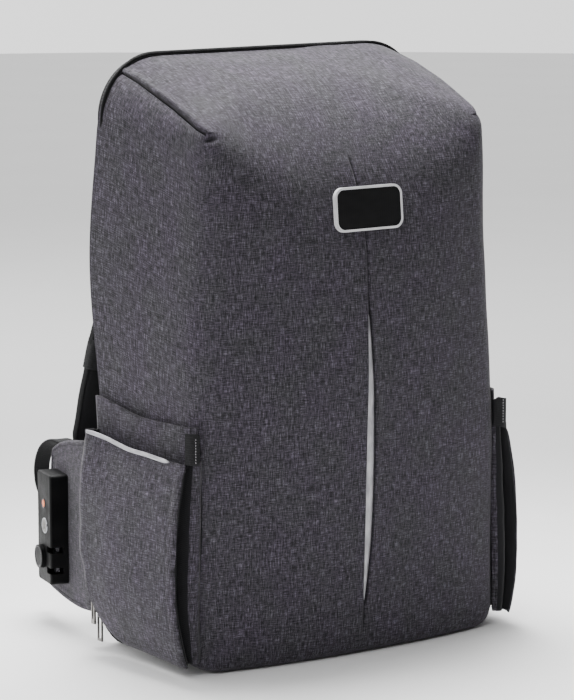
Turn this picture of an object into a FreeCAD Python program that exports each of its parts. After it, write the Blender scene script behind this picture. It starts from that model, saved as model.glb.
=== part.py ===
import FreeCAD, Part
import math
import os
import re

import Sketcher

Vector = FreeCAD.Vector
Rotation = FreeCAD.Rotation
Placement = FreeCAD.Placement

# Driving dimensions, in millimetres and degrees.
# The origin is the centre of the base: +Z up, front towards -Y, the wearer's back towards +Y.
SIZES = {
    "case_width": 300,
    "case_height": 465,
    "rear_face": 53,            # Y of the fabric case's open rear rim
    "front_face": -68,          # Y where the flat sides end
    "dome_mid": -83,            # Y of the crowned front, half way
    "dome_top": -92,            # Y of the fullest part of the crowned front
    "front_half_top": 131,      # half width of the front at its top edge
    "front_half_low": 147,
    "front_height": 411,
    "corner_top": 48,
    "corner_low": 25,
    "wall": 4,
    "sole_depth": 0.5,          # skimmed off the base to leave a flat sole
    "tape_width": 10,
    "tape_thick": 2,
    "teeth_thick": 1.6,
    "seam_gap": 0.3,
    "hinge_low": 34,            # Z span of the fabric hinge
    "hinge_high": 405,
    "hinge_offset": 147,        # X of the hinge axis
    "hinge_depth": 56.75,       # Y of the hinge axis, between the two rows of teeth
    "board_half": 139,
    "board_thick": 2,
    "cushion_half": 136,
    "cushion_thick": 8,
    "pad_width": 108,
    "pad_thick": 12,
    "pocket_front": -70,
    "pocket_rear": 48,
    "pocket_wall": 1.5,
    "pocket_top": 174,
    "sleeve_top": 199,
    "panel_width": 63,
    "panel_tall": 34,
    "panel_thick": 3.4,
    "panel_rim": 1.8,
    "panel_height": 352,        # Z of the module's centre
    "panel_depth": -85.2,       # Y of the fabric under the module's centre
    "panel_lean": 5.6,          # degrees that the module leans back
    "slit_low": 42,
    "slit_high": 275,
    "slit_width": 9,
    "bank_width": 68,
    "bank_thick": 14,
    "bank_tall": 125,
    "bank_left": -76,
    "bank_front": -71,
    "bank_base": 80,
    "wing_angle": 12,           # degrees that each wing turns inwards
    "wing_offset": 147,
    "wing_depth": 84,
    "wing_thick": 3,
    "lock_low": 34,
    "lock_high": 124,
    "lock_front": 48,           # local Y of the lock's front wall
    "lock_rear": 80,
    "lock_inner": 1.8,          # distance from the wing's middle to the lock's open side
    "lock_outer": 17,
    "lock_wall": 2,
    "dial_radius": 5.8,
    "dial_thick": 5,
    "dial_pitch": 7,
    "dial_first": 99,
    "dial_inset": 9,            # local distance of the dials' axle from the wing's middle
    "dial_depth": 76.2,         # local Y of the dials' axle
    "axle_radius": 1.5,
    "key_height": 81,
    "key_depth": 62,
    "key_radius": 5.2,
    "button_height": 54.5,
    "button_depth": 69,
    "button_radius": 9.5,
    "lens_height": 99,
    "lens_depth": 64,
    "pull_slot_low": 43,
    "pull_slot_high": 60,
    "pull_slot_tall": 5,
    "strap_width": 48,
    "strap_thick": 14,
    "strap_top": 412,
    "strap_offset": 70,         # X of the strap's middle at its top
    "strap_splay": 7,           # degrees that the strap splays outwards as it goes down
    "webbing_width": 18,
    "webbing_thick": 2.5,
    "handle_radius": 42,
    "handle_height": 434,
    "handle_depth": 86,
    "slider_long": 10,
    "slider_width": 11,
    "slider_depth": 6,
    "slider_upper": 58,
    "slider_lower": 32,
    "lead_radius": 1.75,
}

doc = FreeCAD.newDocument("SolarBackpack")
sheet = doc.addObject("Spreadsheet::Sheet", "Sizes")
for row, (alias, number) in enumerate(SIZES.items(), start=1):
    sheet.set(f"A{row}", alias)
    sheet.set(f"B{row}", str(number))
    sheet.setAlias(f"B{row}", alias)
doc.recompute()

parts = []                      # the finished sub-parts, one per file


# ---------------------------------------------------------------- helpers

def value(expression):
    """The number of an expression over the sheet's aliases."""
    names = {alias: float(sheet.get(alias)) for alias in SIZES}
    for alias in sorted(names, key=len, reverse=True):
        expression = re.sub(rf"\b{alias}\b", repr(names[alias]), str(expression))
    return float(FreeCAD.Units.Quantity(f"({expression})").Value)


def bind(target, prop, expression):
    """Drives a property from the sheet."""
    linked = re.sub(
        r"[a-z][a-z_]+", lambda m: f"Sizes.{m.group()}" if m.group() in SIZES else m.group(), str(expression)
    )
    target.setExpression(prop, linked)


def finished(thing, label):
    """Names a sub-part and keeps it for the export."""
    thing.Label = label
    parts.append(thing)
    return thing


def new_body(label, place=None):
    body = doc.addObject("PartDesign::Body", f"Body_{label}")
    if place is not None:
        body.Placement = place
    return finished(body, label)


def origin_plane(body, role):
    return next(f for f in body.Origin.OriginFeatures if f.Role == role)


def new_sketch(body, role, offset):
    """A sketch on one of the body's origin planes, moved along the plane's normal."""
    sketch = body.newObject("Sketcher::SketchObject", "Sketch")
    sketch.AttachmentSupport = [(origin_plane(body, role), "")]
    sketch.MapMode = "FlatFace"
    sketch.AttachmentOffset = Placement(Vector(0, 0, value(offset)), Rotation())
    bind(sketch, "AttachmentOffset.Base.z", offset)
    return sketch


def dimension(sketch, kind, *where, size):
    """A dimensional constraint that the sheet drives."""
    index = sketch.addConstraint(Sketcher.Constraint(kind, *where, value(size)))
    bind(sketch, f"Constraints[{index}]", size)


def rectangle(sketch, low, high):
    """A rectangle from its low corner to its high corner."""
    x0, y0, x1, y1 = value(low[0]), value(low[1]), value(high[0]), value(high[1])
    corners = [Vector(x0, y0, 0), Vector(x1, y0, 0), Vector(x1, y1, 0), Vector(x0, y1, 0)]
    for i in range(4):
        sketch.addGeometry(Part.LineSegment(corners[i], corners[(i + 1) % 4]), False)
    for i in range(4):
        sketch.addConstraint(Sketcher.Constraint("Coincident", i, 2, (i + 1) % 4, 1))
    for i, kind in enumerate(["Horizontal", "Vertical", "Horizontal", "Vertical"]):
        sketch.addConstraint(Sketcher.Constraint(kind, i))
    dimension(sketch, "DistanceX", -1, 1, 0, 1, size=low[0])
    dimension(sketch, "DistanceY", -1, 1, 0, 1, size=low[1])
    dimension(sketch, "DistanceX", -1, 1, 1, 2, size=high[0])
    dimension(sketch, "DistanceY", -1, 1, 1, 2, size=high[1])


def circle(sketch, centre, radius):
    where = Vector(value(centre[0]), value(centre[1]), 0)
    index = sketch.addGeometry(Part.Circle(where, Vector(0, 0, 1), value(radius)), False)
    dimension(sketch, "DistanceX", -1, 1, index, 3, size=centre[0])
    dimension(sketch, "DistanceY", -1, 1, index, 3, size=centre[1])
    dimension(sketch, "Radius", index, size=radius)


def rounded_outline(sketch, half_low, half_high, low, high, r_low, r_high):
    """A closed outline, symmetric about the sketch's vertical axis, with four rounded corners."""
    hl, hh, z0, z1 = value(half_low), value(half_high), value(low), value(high)
    rl, rh = value(r_low), value(r_high)
    lean = math.atan2(hl - hh, z1 - z0)
    right_low = Vector(hl - rl, z0 + rl, 0)
    right_high = Vector(hh - rh, z1 - rh, 0)
    side = Vector(math.cos(lean), math.sin(lean), 0)
    mirror = lambda p: Vector(-p.x, p.y, 0)
    a, b = right_low + side * rl, right_high + side * rh
    up, down = Vector(0, rh, 0), Vector(0, -rl, 0)
    z = Vector(0, 0, 1)
    arc = lambda c, r, start, end: Part.ArcOfCircle(Part.Circle(c, z, r), start, end)
    half_pi = math.pi / 2
    sketch.addGeometry(Part.LineSegment(mirror(right_low) + down, right_low + down), False)
    sketch.addGeometry(arc(right_low, rl, -half_pi, lean), False)
    sketch.addGeometry(Part.LineSegment(a, b), False)
    sketch.addGeometry(arc(right_high, rh, lean, half_pi), False)
    sketch.addGeometry(Part.LineSegment(right_high + up, mirror(right_high) + up), False)
    sketch.addGeometry(arc(mirror(right_high), rh, half_pi, math.pi - lean), False)
    sketch.addGeometry(Part.LineSegment(mirror(b), mirror(a)), False)
    sketch.addGeometry(arc(mirror(right_low), rl, math.pi - lean, 3 * half_pi), False)
    for i in range(8):
        sketch.addConstraint(Sketcher.Constraint("Tangent", i, 2, (i + 1) % 8, 1))
    for first, last in ((1, 7), (3, 5)):
        sketch.addConstraint(Sketcher.Constraint("Symmetric", first, 3, last, 3, -2))
    dimension(sketch, "Radius", 1, size=r_low)
    dimension(sketch, "Radius", 3, size=r_high)
    dimension(sketch, "DistanceX", -1, 1, 1, 3, size=f"({half_low}) - ({r_low})")
    dimension(sketch, "DistanceX", -1, 1, 3, 3, size=f"({half_high}) - ({r_high})")
    dimension(sketch, "DistanceY", -1, 1, 1, 3, size=f"({low}) + ({r_low})")
    dimension(sketch, "DistanceY", -1, 1, 3, 3, size=f"({high}) - ({r_high})")


def outline_at(body, depth, *outline):
    """A rounded outline in the plane Y = depth."""
    sketch = new_sketch(body, "XZ_Plane", f"-1 * ({depth})")
    rounded_outline(sketch, *outline)
    return sketch


def add_loft(body, kind, sketches):
    loft = body.newObject(f"PartDesign::{kind}Loft", kind)
    loft.Profile = sketches[0]
    loft.Sections = [(s, [""]) for s in sketches[1:]]
    loft.Ruled = True
    return loft


def plate(body, thick, depth, *outline):
    """A rounded plate from Y = depth, thick towards +Y."""
    sketch = outline_at(body, depth, *outline)
    pad = body.newObject("PartDesign::Pad", "Pad")
    pad.Profile = sketch
    bind(pad, "Length", thick)
    pad.Reversed = True
    return pad


def plate_cut(body, thick, depth, *outline):
    """Removes a rounded plate from Y = depth, thick towards +Y."""
    sketch = outline_at(body, depth, *outline)
    pocket = body.newObject("PartDesign::Pocket", "Pocket")
    pocket.Profile = sketch
    bind(pocket, "Length", thick)
    return pocket


def block(body, low, high):
    """Adds a box between two corners."""
    sketch = new_sketch(body, "XY_Plane", low[2])
    rectangle(sketch, low, high)
    pad = body.newObject("PartDesign::Pad", "Pad")
    pad.Profile = sketch
    bind(pad, "Length", f"({high[2]}) - ({low[2]})")
    return pad


def block_cut(body, low, high):
    """Removes a box between two corners."""
    sketch = new_sketch(body, "XY_Plane", high[2])
    rectangle(sketch, low, high)
    pocket = body.newObject("PartDesign::Pocket", "Pocket")
    pocket.Profile = sketch
    bind(pocket, "Length", f"({high[2]}) - ({low[2]})")
    return pocket


def disc(body, role, centre, radius, offset, length, reverse=False):
    sketch = new_sketch(body, role, offset)
    circle(sketch, centre, radius)
    pad = body.newObject("PartDesign::Pad", "Pad")
    pad.Profile = sketch
    bind(pad, "Length", length)
    pad.Reversed = reverse
    return pad


def bore(body, role, centre, radius, offset, length, reverse=False):
    sketch = new_sketch(body, role, offset)
    circle(sketch, centre, radius)
    pocket = body.newObject("PartDesign::Pocket", "Pocket")
    pocket.Profile = sketch
    bind(pocket, "Length", length)
    pocket.Reversed = reverse
    return pocket


def round_edges(body, base, test, radius):
    """Rounds the edges of a feature that a test picks by their middle point and direction."""
    doc.recompute()
    names = []
    for number, edge in enumerate(base.Shape.Edges, start=1):
        middle = edge.valueAt((edge.FirstParameter + edge.LastParameter) / 2)
        along = edge.tangentAt(edge.FirstParameter)
        if test(middle, along):
            names.append(f"Edge{number}")
    fillet = body.newObject("PartDesign::Fillet", "Fillet")
    fillet.Base = (base, names)
    bind(fillet, "Radius", radius)
    return fillet


def side_name(side):
    return "left" if side < 0 else "right"


def span(side, a, b):
    """Low and high X of a stretch that is given on the +X side."""
    return (f"({a})", f"({b})") if side > 0 else (f"-1 * ({b})", f"-1 * ({a})")


def shape_part(label, shape, place=None):
    """A sub-part whose shape is made directly."""
    part = doc.addObject("Part::Feature", f"Shape_{label}")
    part.Shape = shape
    if place is not None:
        part.Placement = place
    return finished(part, label)


# ---------------------------------------------------------------- front body

def front_shell():
    """The fabric case: flat sides, a sloping top and a crowned front, open at the rear."""
    body = new_body("front_shell")
    outer = [
        outline_at(body, "rear_face", "case_width / 2", "case_width / 2", "-1 * sole_depth", "case_height",
                   "corner_low", "corner_top"),
        outline_at(body, "front_face", "front_half_low", "front_half_top", "-1 * sole_depth", "front_height",
                   "corner_low", "14"),
        outline_at(body, "dome_mid", "112", "92", "26", "front_height - 39", "30", "30"),
        outline_at(body, "dome_top", "40", "38", "slit_low - 6", "slit_high + 6", "20", "20"),
    ]
    add_loft(body, "Additive", outer)
    block_cut(body, ("-1 * case_width", "dome_top - 10", "-10"), ("case_width", "rear_face + 10", "0"))
    inner = [
        outline_at(body, "rear_face + 1", "case_width / 2 - wall", "case_width / 2 - wall", "wall",
                   "case_height - wall", "corner_low - wall", "corner_top - wall"),
        outline_at(body, "front_face + wall", "front_half_low - wall", "front_half_top - wall", "wall",
                   "front_height - wall - 1", "corner_low - wall", "12"),
        outline_at(body, "dome_mid + wall", "110", "90", "28", "front_height - 41", "28", "28"),
        outline_at(body, "dome_top + wall", "38", "36", "slit_low - 4", "slit_high + 4", "18", "18"),
    ]
    add_loft(body, "Subtractive", inner)
    half = "(panel_width / 2 - 4)"
    block_cut(body, (f"-1 * {half}", "dome_top - 4", "panel_height - 14"),
              (half, "front_face", "panel_height + 14"))


def base_board():
    """The stiffener that lies on the case's floor."""
    body = new_body("base_board")
    pad = block(body, ("-121", "front_face + 8", "wall + 0.3"), ("121", "rear_face - 3", "wall + 2.8"))
    round_edges(body, pad, lambda m, d: abs(d.z) > 0.9, "12")


def front_reflector():
    """The reflective strip that shows in the front slit."""
    body = new_body("front_reflector")
    block(body, ("-1 * slit_width / 2", "dome_top - 1", "slit_low"), ("slit_width / 2", "dome_top", "slit_high"))


def panel_place():
    """The solar module's own frame: its outer side faces -Y, on the leaning front."""
    lean = Rotation(Vector(1, 0, 0), -value("panel_lean"))
    return Placement(Vector(0, value("panel_depth"), value("panel_height")), lean)


def solar_module():
    """The small framed solar module: frame, cell, window and the tray behind."""
    outline = ("panel_width / 2", "panel_width / 2", "-1 * panel_tall / 2", "panel_tall / 2", "8", "8")
    inset = ("panel_width / 2 - panel_rim", "panel_width / 2 - panel_rim", "panel_rim - panel_tall / 2",
             "panel_tall / 2 - panel_rim", "8 - panel_rim", "8 - panel_rim")
    frame = new_body("panel_frame", panel_place())
    plate(frame, "panel_thick", "-1 * panel_thick", *outline)
    plate_cut(frame, "panel_thick - 1.2", "-1 * panel_thick", *inset)
    block_cut(frame, ("-24", "-2", "-10"), ("24", "1", "10"))
    window = new_body("panel_window", panel_place())
    plate(window, "0.9", "-1 * panel_thick + 0.3", *inset)
    cell = new_body("solar_cell", panel_place())
    plate(cell, "0.6", "-1 * panel_thick + 1.3", "panel_width / 2 - 4", "panel_width / 2 - 4",
          "4 - panel_tall / 2", "panel_tall / 2 - 4", "4", "4")
    tray = new_body("panel_tray", panel_place())
    plate(tray, "8", "0", "25", "25", "-11", "11", "3", "3")
    plate_cut(tray, "5", "0", "23", "23", "-9", "9", "2", "2")


def lead_route():
    """The route of the lead from the module's tray to the power bank's dock."""
    start = panel_place().multVec(Vector(0, 6, -11))
    plug = Vector(-42, -64, value("bank_base") - 14)
    return [
        start,
        start + Vector(1, 5, -34),
        Vector(0, -65, 258),
        Vector(1, -64, 202),
        Vector(-1, -64, 148),
        Vector(0, -63, 92),
        Vector(-4, -64, 46),
        Vector(-24, -65, 27),
        Vector(-41, -64, 38),
        plug,
    ]


def rounded_path(points):
    """Straight runs joined by tangent arcs."""
    edges = []
    here = points[0]
    for before, corner, after in zip(points, points[1:], points[2:]):
        run_in, run_out = corner - before, after - corner
        turn = run_in.getAngle(run_out)
        trim = 0.45 * min(run_in.Length, run_out.Length)
        start = corner - run_in.normalize() * trim
        end = corner + run_out.normalize() * trim
        bisector = (start + end) * 0.5 - corner
        radius = trim / math.tan(turn / 2)
        centre = corner + bisector.normalize() * (radius / math.cos(turn / 2))
        middle = centre + (corner - centre).normalize() * radius
        edges.append(Part.LineSegment(here, start).toShape())
        edges.append(Part.Arc(start, middle, end).toShape())
        print(f"lead radius {radius:.0f}")
        here = end
    edges.append(Part.LineSegment(here, points[-1]).toShape())
    return Part.Wire(edges)


def panel_lead():
    """The lead, a round tube along its route."""
    path = rounded_path(lead_route())
    start = path.Edges[0].valueAt(path.Edges[0].FirstParameter)
    along = path.Edges[0].tangentAt(path.Edges[0].FirstParameter)
    radius = value("lead_radius")
    profile = Part.Wire(Part.Circle(start, along, radius).toShape())
    tube = path.makePipeShell([profile], True, False)
    print("lead volume over section times length", tube.Volume / (math.pi * radius ** 2 * path.Length))
    shape_part("panel_lead", tube)


def rim_ring(label, depth, thick, inset, width):
    """A ring round the rear rim, open along the fabric hinge."""
    body = new_body(label)
    outer = (f"case_width / 2 - {inset}",) * 2 + (f"{inset}", f"case_height - {inset}",
             f"corner_low - {inset}", f"corner_top - {inset}")
    hole = f"({inset} + {width})"
    inner = (f"case_width / 2 - {hole}",) * 2 + (hole, f"case_height - {hole}",
             f"corner_low - {hole}", f"corner_top - {hole}")
    plate(body, thick, depth, *outer)
    plate_cut(body, f"{thick} + 0.5", depth, *inner)
    block_cut(body, ("case_width / 2 - 30", f"{depth} - 1", "hinge_low"),
              ("case_width / 2 + 5", f"{depth} + {thick} + 1", "hinge_high"))
    return body


def zip_halves():
    """Tape and teeth of each half of the zip. The moving half ends short of the fabric hinge's axis."""
    rim_ring("zip_tape_front", "rear_face", "tape_thick", "0.5", "tape_width")
    rim_ring("zip_teeth_front", "rear_face + tape_thick", "teeth_thick", "0.8", "4")
    moving = [
        rim_ring("zip_teeth_back", "rear_face + tape_thick + teeth_thick + seam_gap", "teeth_thick", "0.8", "4"),
        rim_ring("zip_tape_back", "rear_face + tape_thick + 2 * teeth_thick + seam_gap", "4", "0.5", "tape_width"),
    ]
    for body in moving:
        block_cut(body, ("hinge_offset - 0.3", "rear_face", "-5"), ("hinge_offset + 5", "rear_face + 15", "case_height"))


def hinge_gusset():
    """The fabric strip that joins the two halves along the right-hand edge."""
    body = new_body("hinge_gusset")
    block(body, ("hinge_offset - 1.5", "rear_face", "hinge_low + 3"),
          ("hinge_offset + 0.5", "rear_face + 7.5", "hinge_high - 3"))


def curve_through(points):
    curve = Part.BSplineCurve()
    curve.interpolate(points)
    return curve.toShape()


def between(first, second):
    """The face between two rows of points, each joined by a smooth curve."""
    second = list(reversed(second))
    ends = [Part.LineSegment(first[-1], second[0]), Part.LineSegment(second[-1], first[0])]
    return Part.Face(Part.Wire([curve_through(first), ends[0].toShape(), curve_through(second), ends[1].toShape()]))


def wall_points(side, stations, inwards, depth):
    """Points of a pocket wall's side view: stations are (distance from the middle, height)."""
    return [Vector(side * (x - inwards), depth, z) for x, z in stations]


def pocket_wall(label, side, stations, front, rear):
    """A pocket wall, stretched from front to rear."""
    face = between(wall_points(side, stations, 0, front), wall_points(side, stations, value("pocket_wall"), front))
    shape_part(label, face.extrude(Vector(0, rear - front, 0)))


def pocket_end(side, stations, depth, height):
    """A gusset that closes one end of a pocket, from the case out to its outer wall."""
    wall = value("pocket_wall")
    near = [Vector(side * 150.3, depth, z) for z in (stations[0][1], stations[-1][1])]
    far = wall_points(side, stations, wall + 0.2, depth)
    edges = [curve_through(far), Part.LineSegment(far[-1], near[1]).toShape(),
             Part.LineSegment(near[1], near[0]).toShape(), Part.LineSegment(near[0], far[0]).toShape()]
    return Part.Face(Part.Wire(edges)).extrude(Vector(0, height, 0))


def side_pocket(side):
    """A side pocket: a taller inner panel, a lower outer panel and a gusset that closes its front and floor."""
    name = side_name(side)
    front, rear, top = value("pocket_front"), value("pocket_rear"), value("pocket_top")
    inner = [(154, 20), (159, 70), (160, 120), (157.5, value("sleeve_top"))]
    outer = [(160, 18), (172, 55), (174, 95), (165.5, top)]
    pocket_wall(f"{name}_pocket_inner", side, inner, front + 3, rear - 6)
    pocket_wall(f"{name}_pocket_outer", side, outer, front, rear)
    wall = value("pocket_wall")
    low = outer[0][1]
    near = side * 150.3 if side > 0 else side * 158.3
    floor = Part.makeBox(8, rear - front, wall, Vector(near, front, low - wall))
    ends = [pocket_end(side, outer, front, wall), pocket_end(side, outer, rear - wall, wall)]
    shape_part(f"{name}_pocket_gusset", floor.multiFuse(ends).removeSplitter())


def inner_pocket(label, left, right, front, rear, low, high):
    """A sewn inner pocket, open at the top."""
    body = new_body(label)
    block(body, (left, front, low), (right, rear, high))
    block_cut(body, (f"{left} + pocket_wall", f"{front} + pocket_wall", f"{low} + pocket_wall"),
              (f"{right} - pocket_wall", f"{rear} - pocket_wall", f"{high} + 1"))
    return body


def inner_pockets():
    inner_pocket("organiser_pocket", "6", "112", "-70", "-56", "60", "190")
    body = inner_pocket("power_bank_pocket", "bank_left - 2.5", "bank_left + bank_width + 2.5",
                        "bank_front - 2.5", "bank_front + bank_thick + 2.5", "bank_base - 1.8", "bank_base + 140")
    block_cut(body, ("-48.5", "-67", "bank_base - 4"), ("-35.5", "-61", "bank_base + 3"))


def power_bank():
    """The power bank: two half cases, a cell and a charging board, with a port in its lower end."""
    left, right = "bank_left", "bank_left + bank_width"
    split = "bank_front + bank_thick / 2"
    low, high = "bank_base", "bank_base + bank_tall"
    for label, near, far, open_near, open_far in (
        ("bank_case_front", "bank_front", split, "bank_front + 1.5", f"{split} + 1"),
        ("bank_case_back", f"{split}", "bank_front + bank_thick", f"{split} - 1", "bank_front + bank_thick - 1.5"),
    ):
        body = new_body(label)
        pad = block(body, (left, near, low), (right, far, high))
        round_edges(body, pad, lambda m, d: abs(d.y) > 0.9, "6")
        block_cut(body, (f"{left} + 1.5", open_near, f"{low} + 1.5"), (f"{right} - 1.5", open_far, f"{high} - 1.5"))
        block_cut(body, ("-47.5", "-65.8", f"{low} - 1"), ("-36.5", "-62.2", f"{low} + 4"))
    cell = new_body("battery_cell")
    pad = block(cell, ("bank_left + 4", "bank_front + 2", "bank_base + 22"),
                ("bank_left + bank_width - 4", "bank_front + bank_thick - 2", "bank_base + bank_tall - 4"))
    round_edges(cell, pad, lambda m, d: abs(d.z) > 0.9, "3")
    board = new_body("charge_board")
    block(board, ("bank_left + 4", "bank_front + 9.4", "bank_base + 3"),
          ("bank_left + bank_width - 4", "bank_front + 11", "bank_base + 20"))
    dock = new_body("dock_plug")
    block(dock, ("-52", "-69", "bank_base - 14"), ("-32", "-59", "bank_base - 1.8"))
    block(dock, ("-46.5", "-65.3", "bank_base - 1.8"), ("-37.5", "-62.7", "bank_base + 4.5"))


# ---------------------------------------------------------------- back panel

def back_board():
    """The stiff sheet in the back panel."""
    body = new_body("back_board")
    plate(body, "board_thick", "rear_face + 7.5", "board_half", "board_half", "11", "case_height - 12", "20", "38")


def back_cover():
    """The back panel's fabric cover: a thin flange to the rim and a foam cushion."""
    body = new_body("back_cover")
    plate(body, "1.5", "rear_face + 9.5", "case_width / 2 - 0.5", "case_width / 2 - 0.5", "0.5",
          "case_height - 0.5", "corner_low", "corner_top")
    plate(body, "cushion_thick", "rear_face + 11", "cushion_half", "cushion_half", "14", "case_height - 15",
          "22", "36")


def back_pads():
    """Four foam pads, two a side, with a channel down the middle."""
    for side in (-1, 1):
        for level, low, high in (("upper", "214", "366"), ("lower", "40", "200")):
            body = new_body(f"back_pad_{level}_{side_name(side)}")
            near, far = span(side, "12", "12 + pad_width")
            pad = block(body, (near, "rear_face + 19", low), (far, "rear_face + 19 + pad_thick", high))
            round_edges(body, pad, lambda m, d: abs(d.y) > 0.9, "18")


def laptop_sleeve():
    """The laptop sleeve on the inner side of the back panel, open at the top."""
    inner_pocket("laptop_sleeve", "-128", "128", "34", "rear_face + 7.4", "18", "300")


def trolley_sleeve():
    """The band that slips over a suitcase's handle, standing off the back pads."""
    body = new_body("trolley_sleeve")
    depth = "(rear_face + 19 + pad_thick)"
    block(body, ("-132", f"{depth} + 6", "170"), ("132", f"{depth} + 7.5", "236"))
    for side in (-1, 1):
        near, far = span(side, "124", "132")
        block(body, (near, "rear_face + 19", "170"), (far, f"{depth} + 7", "236"))


def grab_handle():
    """A webbing loop that hangs from a sewn patch and swings up to be held."""
    handle = new_body("grab_handle")
    sketch = new_sketch(handle, "XZ_Plane", "-1 * (handle_depth - 9)")
    for radius in ("handle_radius", "handle_radius - 3"):
        circle(sketch, ("0", "handle_height"), radius)
    pad = handle.newObject("PartDesign::Pad", "Pad")
    pad.Profile = sketch
    bind(pad, "Length", "18")
    pad.Reversed = True
    block_cut(handle, ("-60", "handle_depth - 20", "handle_height"), ("60", "handle_depth + 20", "handle_height + 60"))
    disc(handle, "YZ_Plane", ("handle_depth", "handle_height"), "2.2", "handle_radius - 3.4", "3.8")
    disc(handle, "YZ_Plane", ("handle_depth", "handle_height"), "2.2", "0.4 - handle_radius", "3.8")
    patch = new_body("handle_patch")
    depth = "rear_face + 19"
    block(patch, ("-60", depth, "handle_height - 10"), ("60", f"{depth} + 2", "handle_height + 10"))
    for side in (-1, 1):
        near, far = span(side, "handle_radius + 0.9", "handle_radius + 4")
        block(patch, (near, f"{depth} + 2", "handle_height - 6"), (far, "handle_depth + 5", "handle_height + 6"))


def strap_stations():
    """Side view of a shoulder strap's middle line, from its anchor down: (Y, Z)."""
    top, rear = value("strap_top"), value("rear_face")
    return [(rear + 27, top), (rear + 37, top - 30), (rear + 55, top - 92), (rear + 76, top - 171),
            (rear + 89, top - 250), (rear + 93, top - 282)]


def band_outline(stations, thick, start_x):
    """The closed side view of a band that follows stations, as a face at X = start_x."""
    middle = Part.BSplineCurve()
    middle.interpolate([Vector(start_x, y, z) for y, z in stations])
    walls = []
    for offset in (thick / 2, -thick / 2):
        points = []
        for y, z in stations:
            at = middle.parameter(Vector(start_x, y, z))
            along = middle.tangent(at)[0]
            points.append(Vector(start_x, y, z) + along.cross(Vector(1, 0, 0)) * offset)
        wall = Part.BSplineCurve()
        wall.interpolate(points)
        walls.append((wall, points))
    (front, a), (back, b) = walls
    caps = [Part.LineSegment(a[-1], b[-1]).toShape(), Part.LineSegment(b[0], a[0]).toShape()]
    return Part.Face(Part.Wire([front.toShape(), caps[0], back.toShape(), caps[1]]))


def strap_place(side):
    """Splays a strap that was made straight down, about the middle of its anchor."""
    x, top = side * value("strap_offset"), value("strap_top")
    splay = Rotation(Vector(0, 1, 0), -side * value("strap_splay"))
    return Placement(Vector(x, 0, top), splay).multiply(Placement(Vector(0, 0, -top), Rotation()))


def shoulder_strap(side):
    """A padded strap and its ladder-lock buckle."""
    name, width, thick = side_name(side), value("strap_width"), value("strap_thick")
    face = band_outline(strap_stations(), thick, -width / 2)
    shape_part(f"{name}_shoulder_strap", face.extrude(Vector(width, 0, 0)), strap_place(side))
    y2, z2 = strap_stations()[-1]
    lower = Placement(Vector(0, y2, z2 - 1), Rotation())
    buckle = new_body(f"{name}_strap_adjuster", strap_place(side).multiply(lower))
    block(buckle, ("-16", "-3", "-24"), ("16", "3", "0"))
    block_cut(buckle, ("-11", "-4", "-21"), ("11", "4", "-16.5"))
    block_cut(buckle, ("-11", "-4", "-12"), ("11", "4", "-7.5"))


def wing_place(side):
    """A wing's own frame: local Y runs backwards along it, local X points towards the middle."""
    turn = Rotation(Vector(0, 0, 1), side * value("wing_angle"))
    return Placement(Vector(side * value("wing_offset"), value("wing_depth"), 0), turn)


def wing(side):
    """The fabric wing that stands back from the panel's lower corner."""
    half = value("wing_thick") / 2
    outline = [(-18, 161), (40, 152), (87, 140), (104, 24), (46, 21), (-18, 24)]
    points = [Vector(-half, y, z) for y, z in outline]
    face = Part.Face(Part.makePolygon(points + points[:1]))
    solid = face.extrude(Vector(2 * half, 0, 0))
    root = Part.makeBox(8, 3, 136, Vector(-half if side < 0 else half - 8, -19, 24))
    if side < 0:
        for y, z in lock_screws_at():
            hole = Part.makeCylinder(1.6, 10, Vector(-5, y, z), Vector(1, 0, 0))
            solid = solid.cut(hole)
    shape_part(f"{side_name(side)}_wing", solid.fuse(root).removeSplitter(), wing_place(side))


def webbing(side):
    """The slack webbing that arcs from the strap's buckle to the wing's rear edge."""
    half = value("webbing_width") / 2
    stations = [(151.5, 118), (156.5, 136), (165, 147.5), (177, 147), (187, 137), (191.5, 120), (188, 103), (183, 92)]
    face = band_outline(stations, value("webbing_thick"), -half)
    place = Placement(Vector(side * 118, 0, 0), Rotation())
    shape_part(f"{side_name(side)}_strap_webbing", face.extrude(Vector(2 * half, 0, 0)), place)


# ---------------------------------------------------------------- lock on the left wing

def lock_screws_at():
    """Local Y and Z of the lock's two screws."""
    return [(value("lock_front") + 6, value("lock_high") - 6), (value("lock_rear") - 8, value("lock_low") + 6)]


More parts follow.
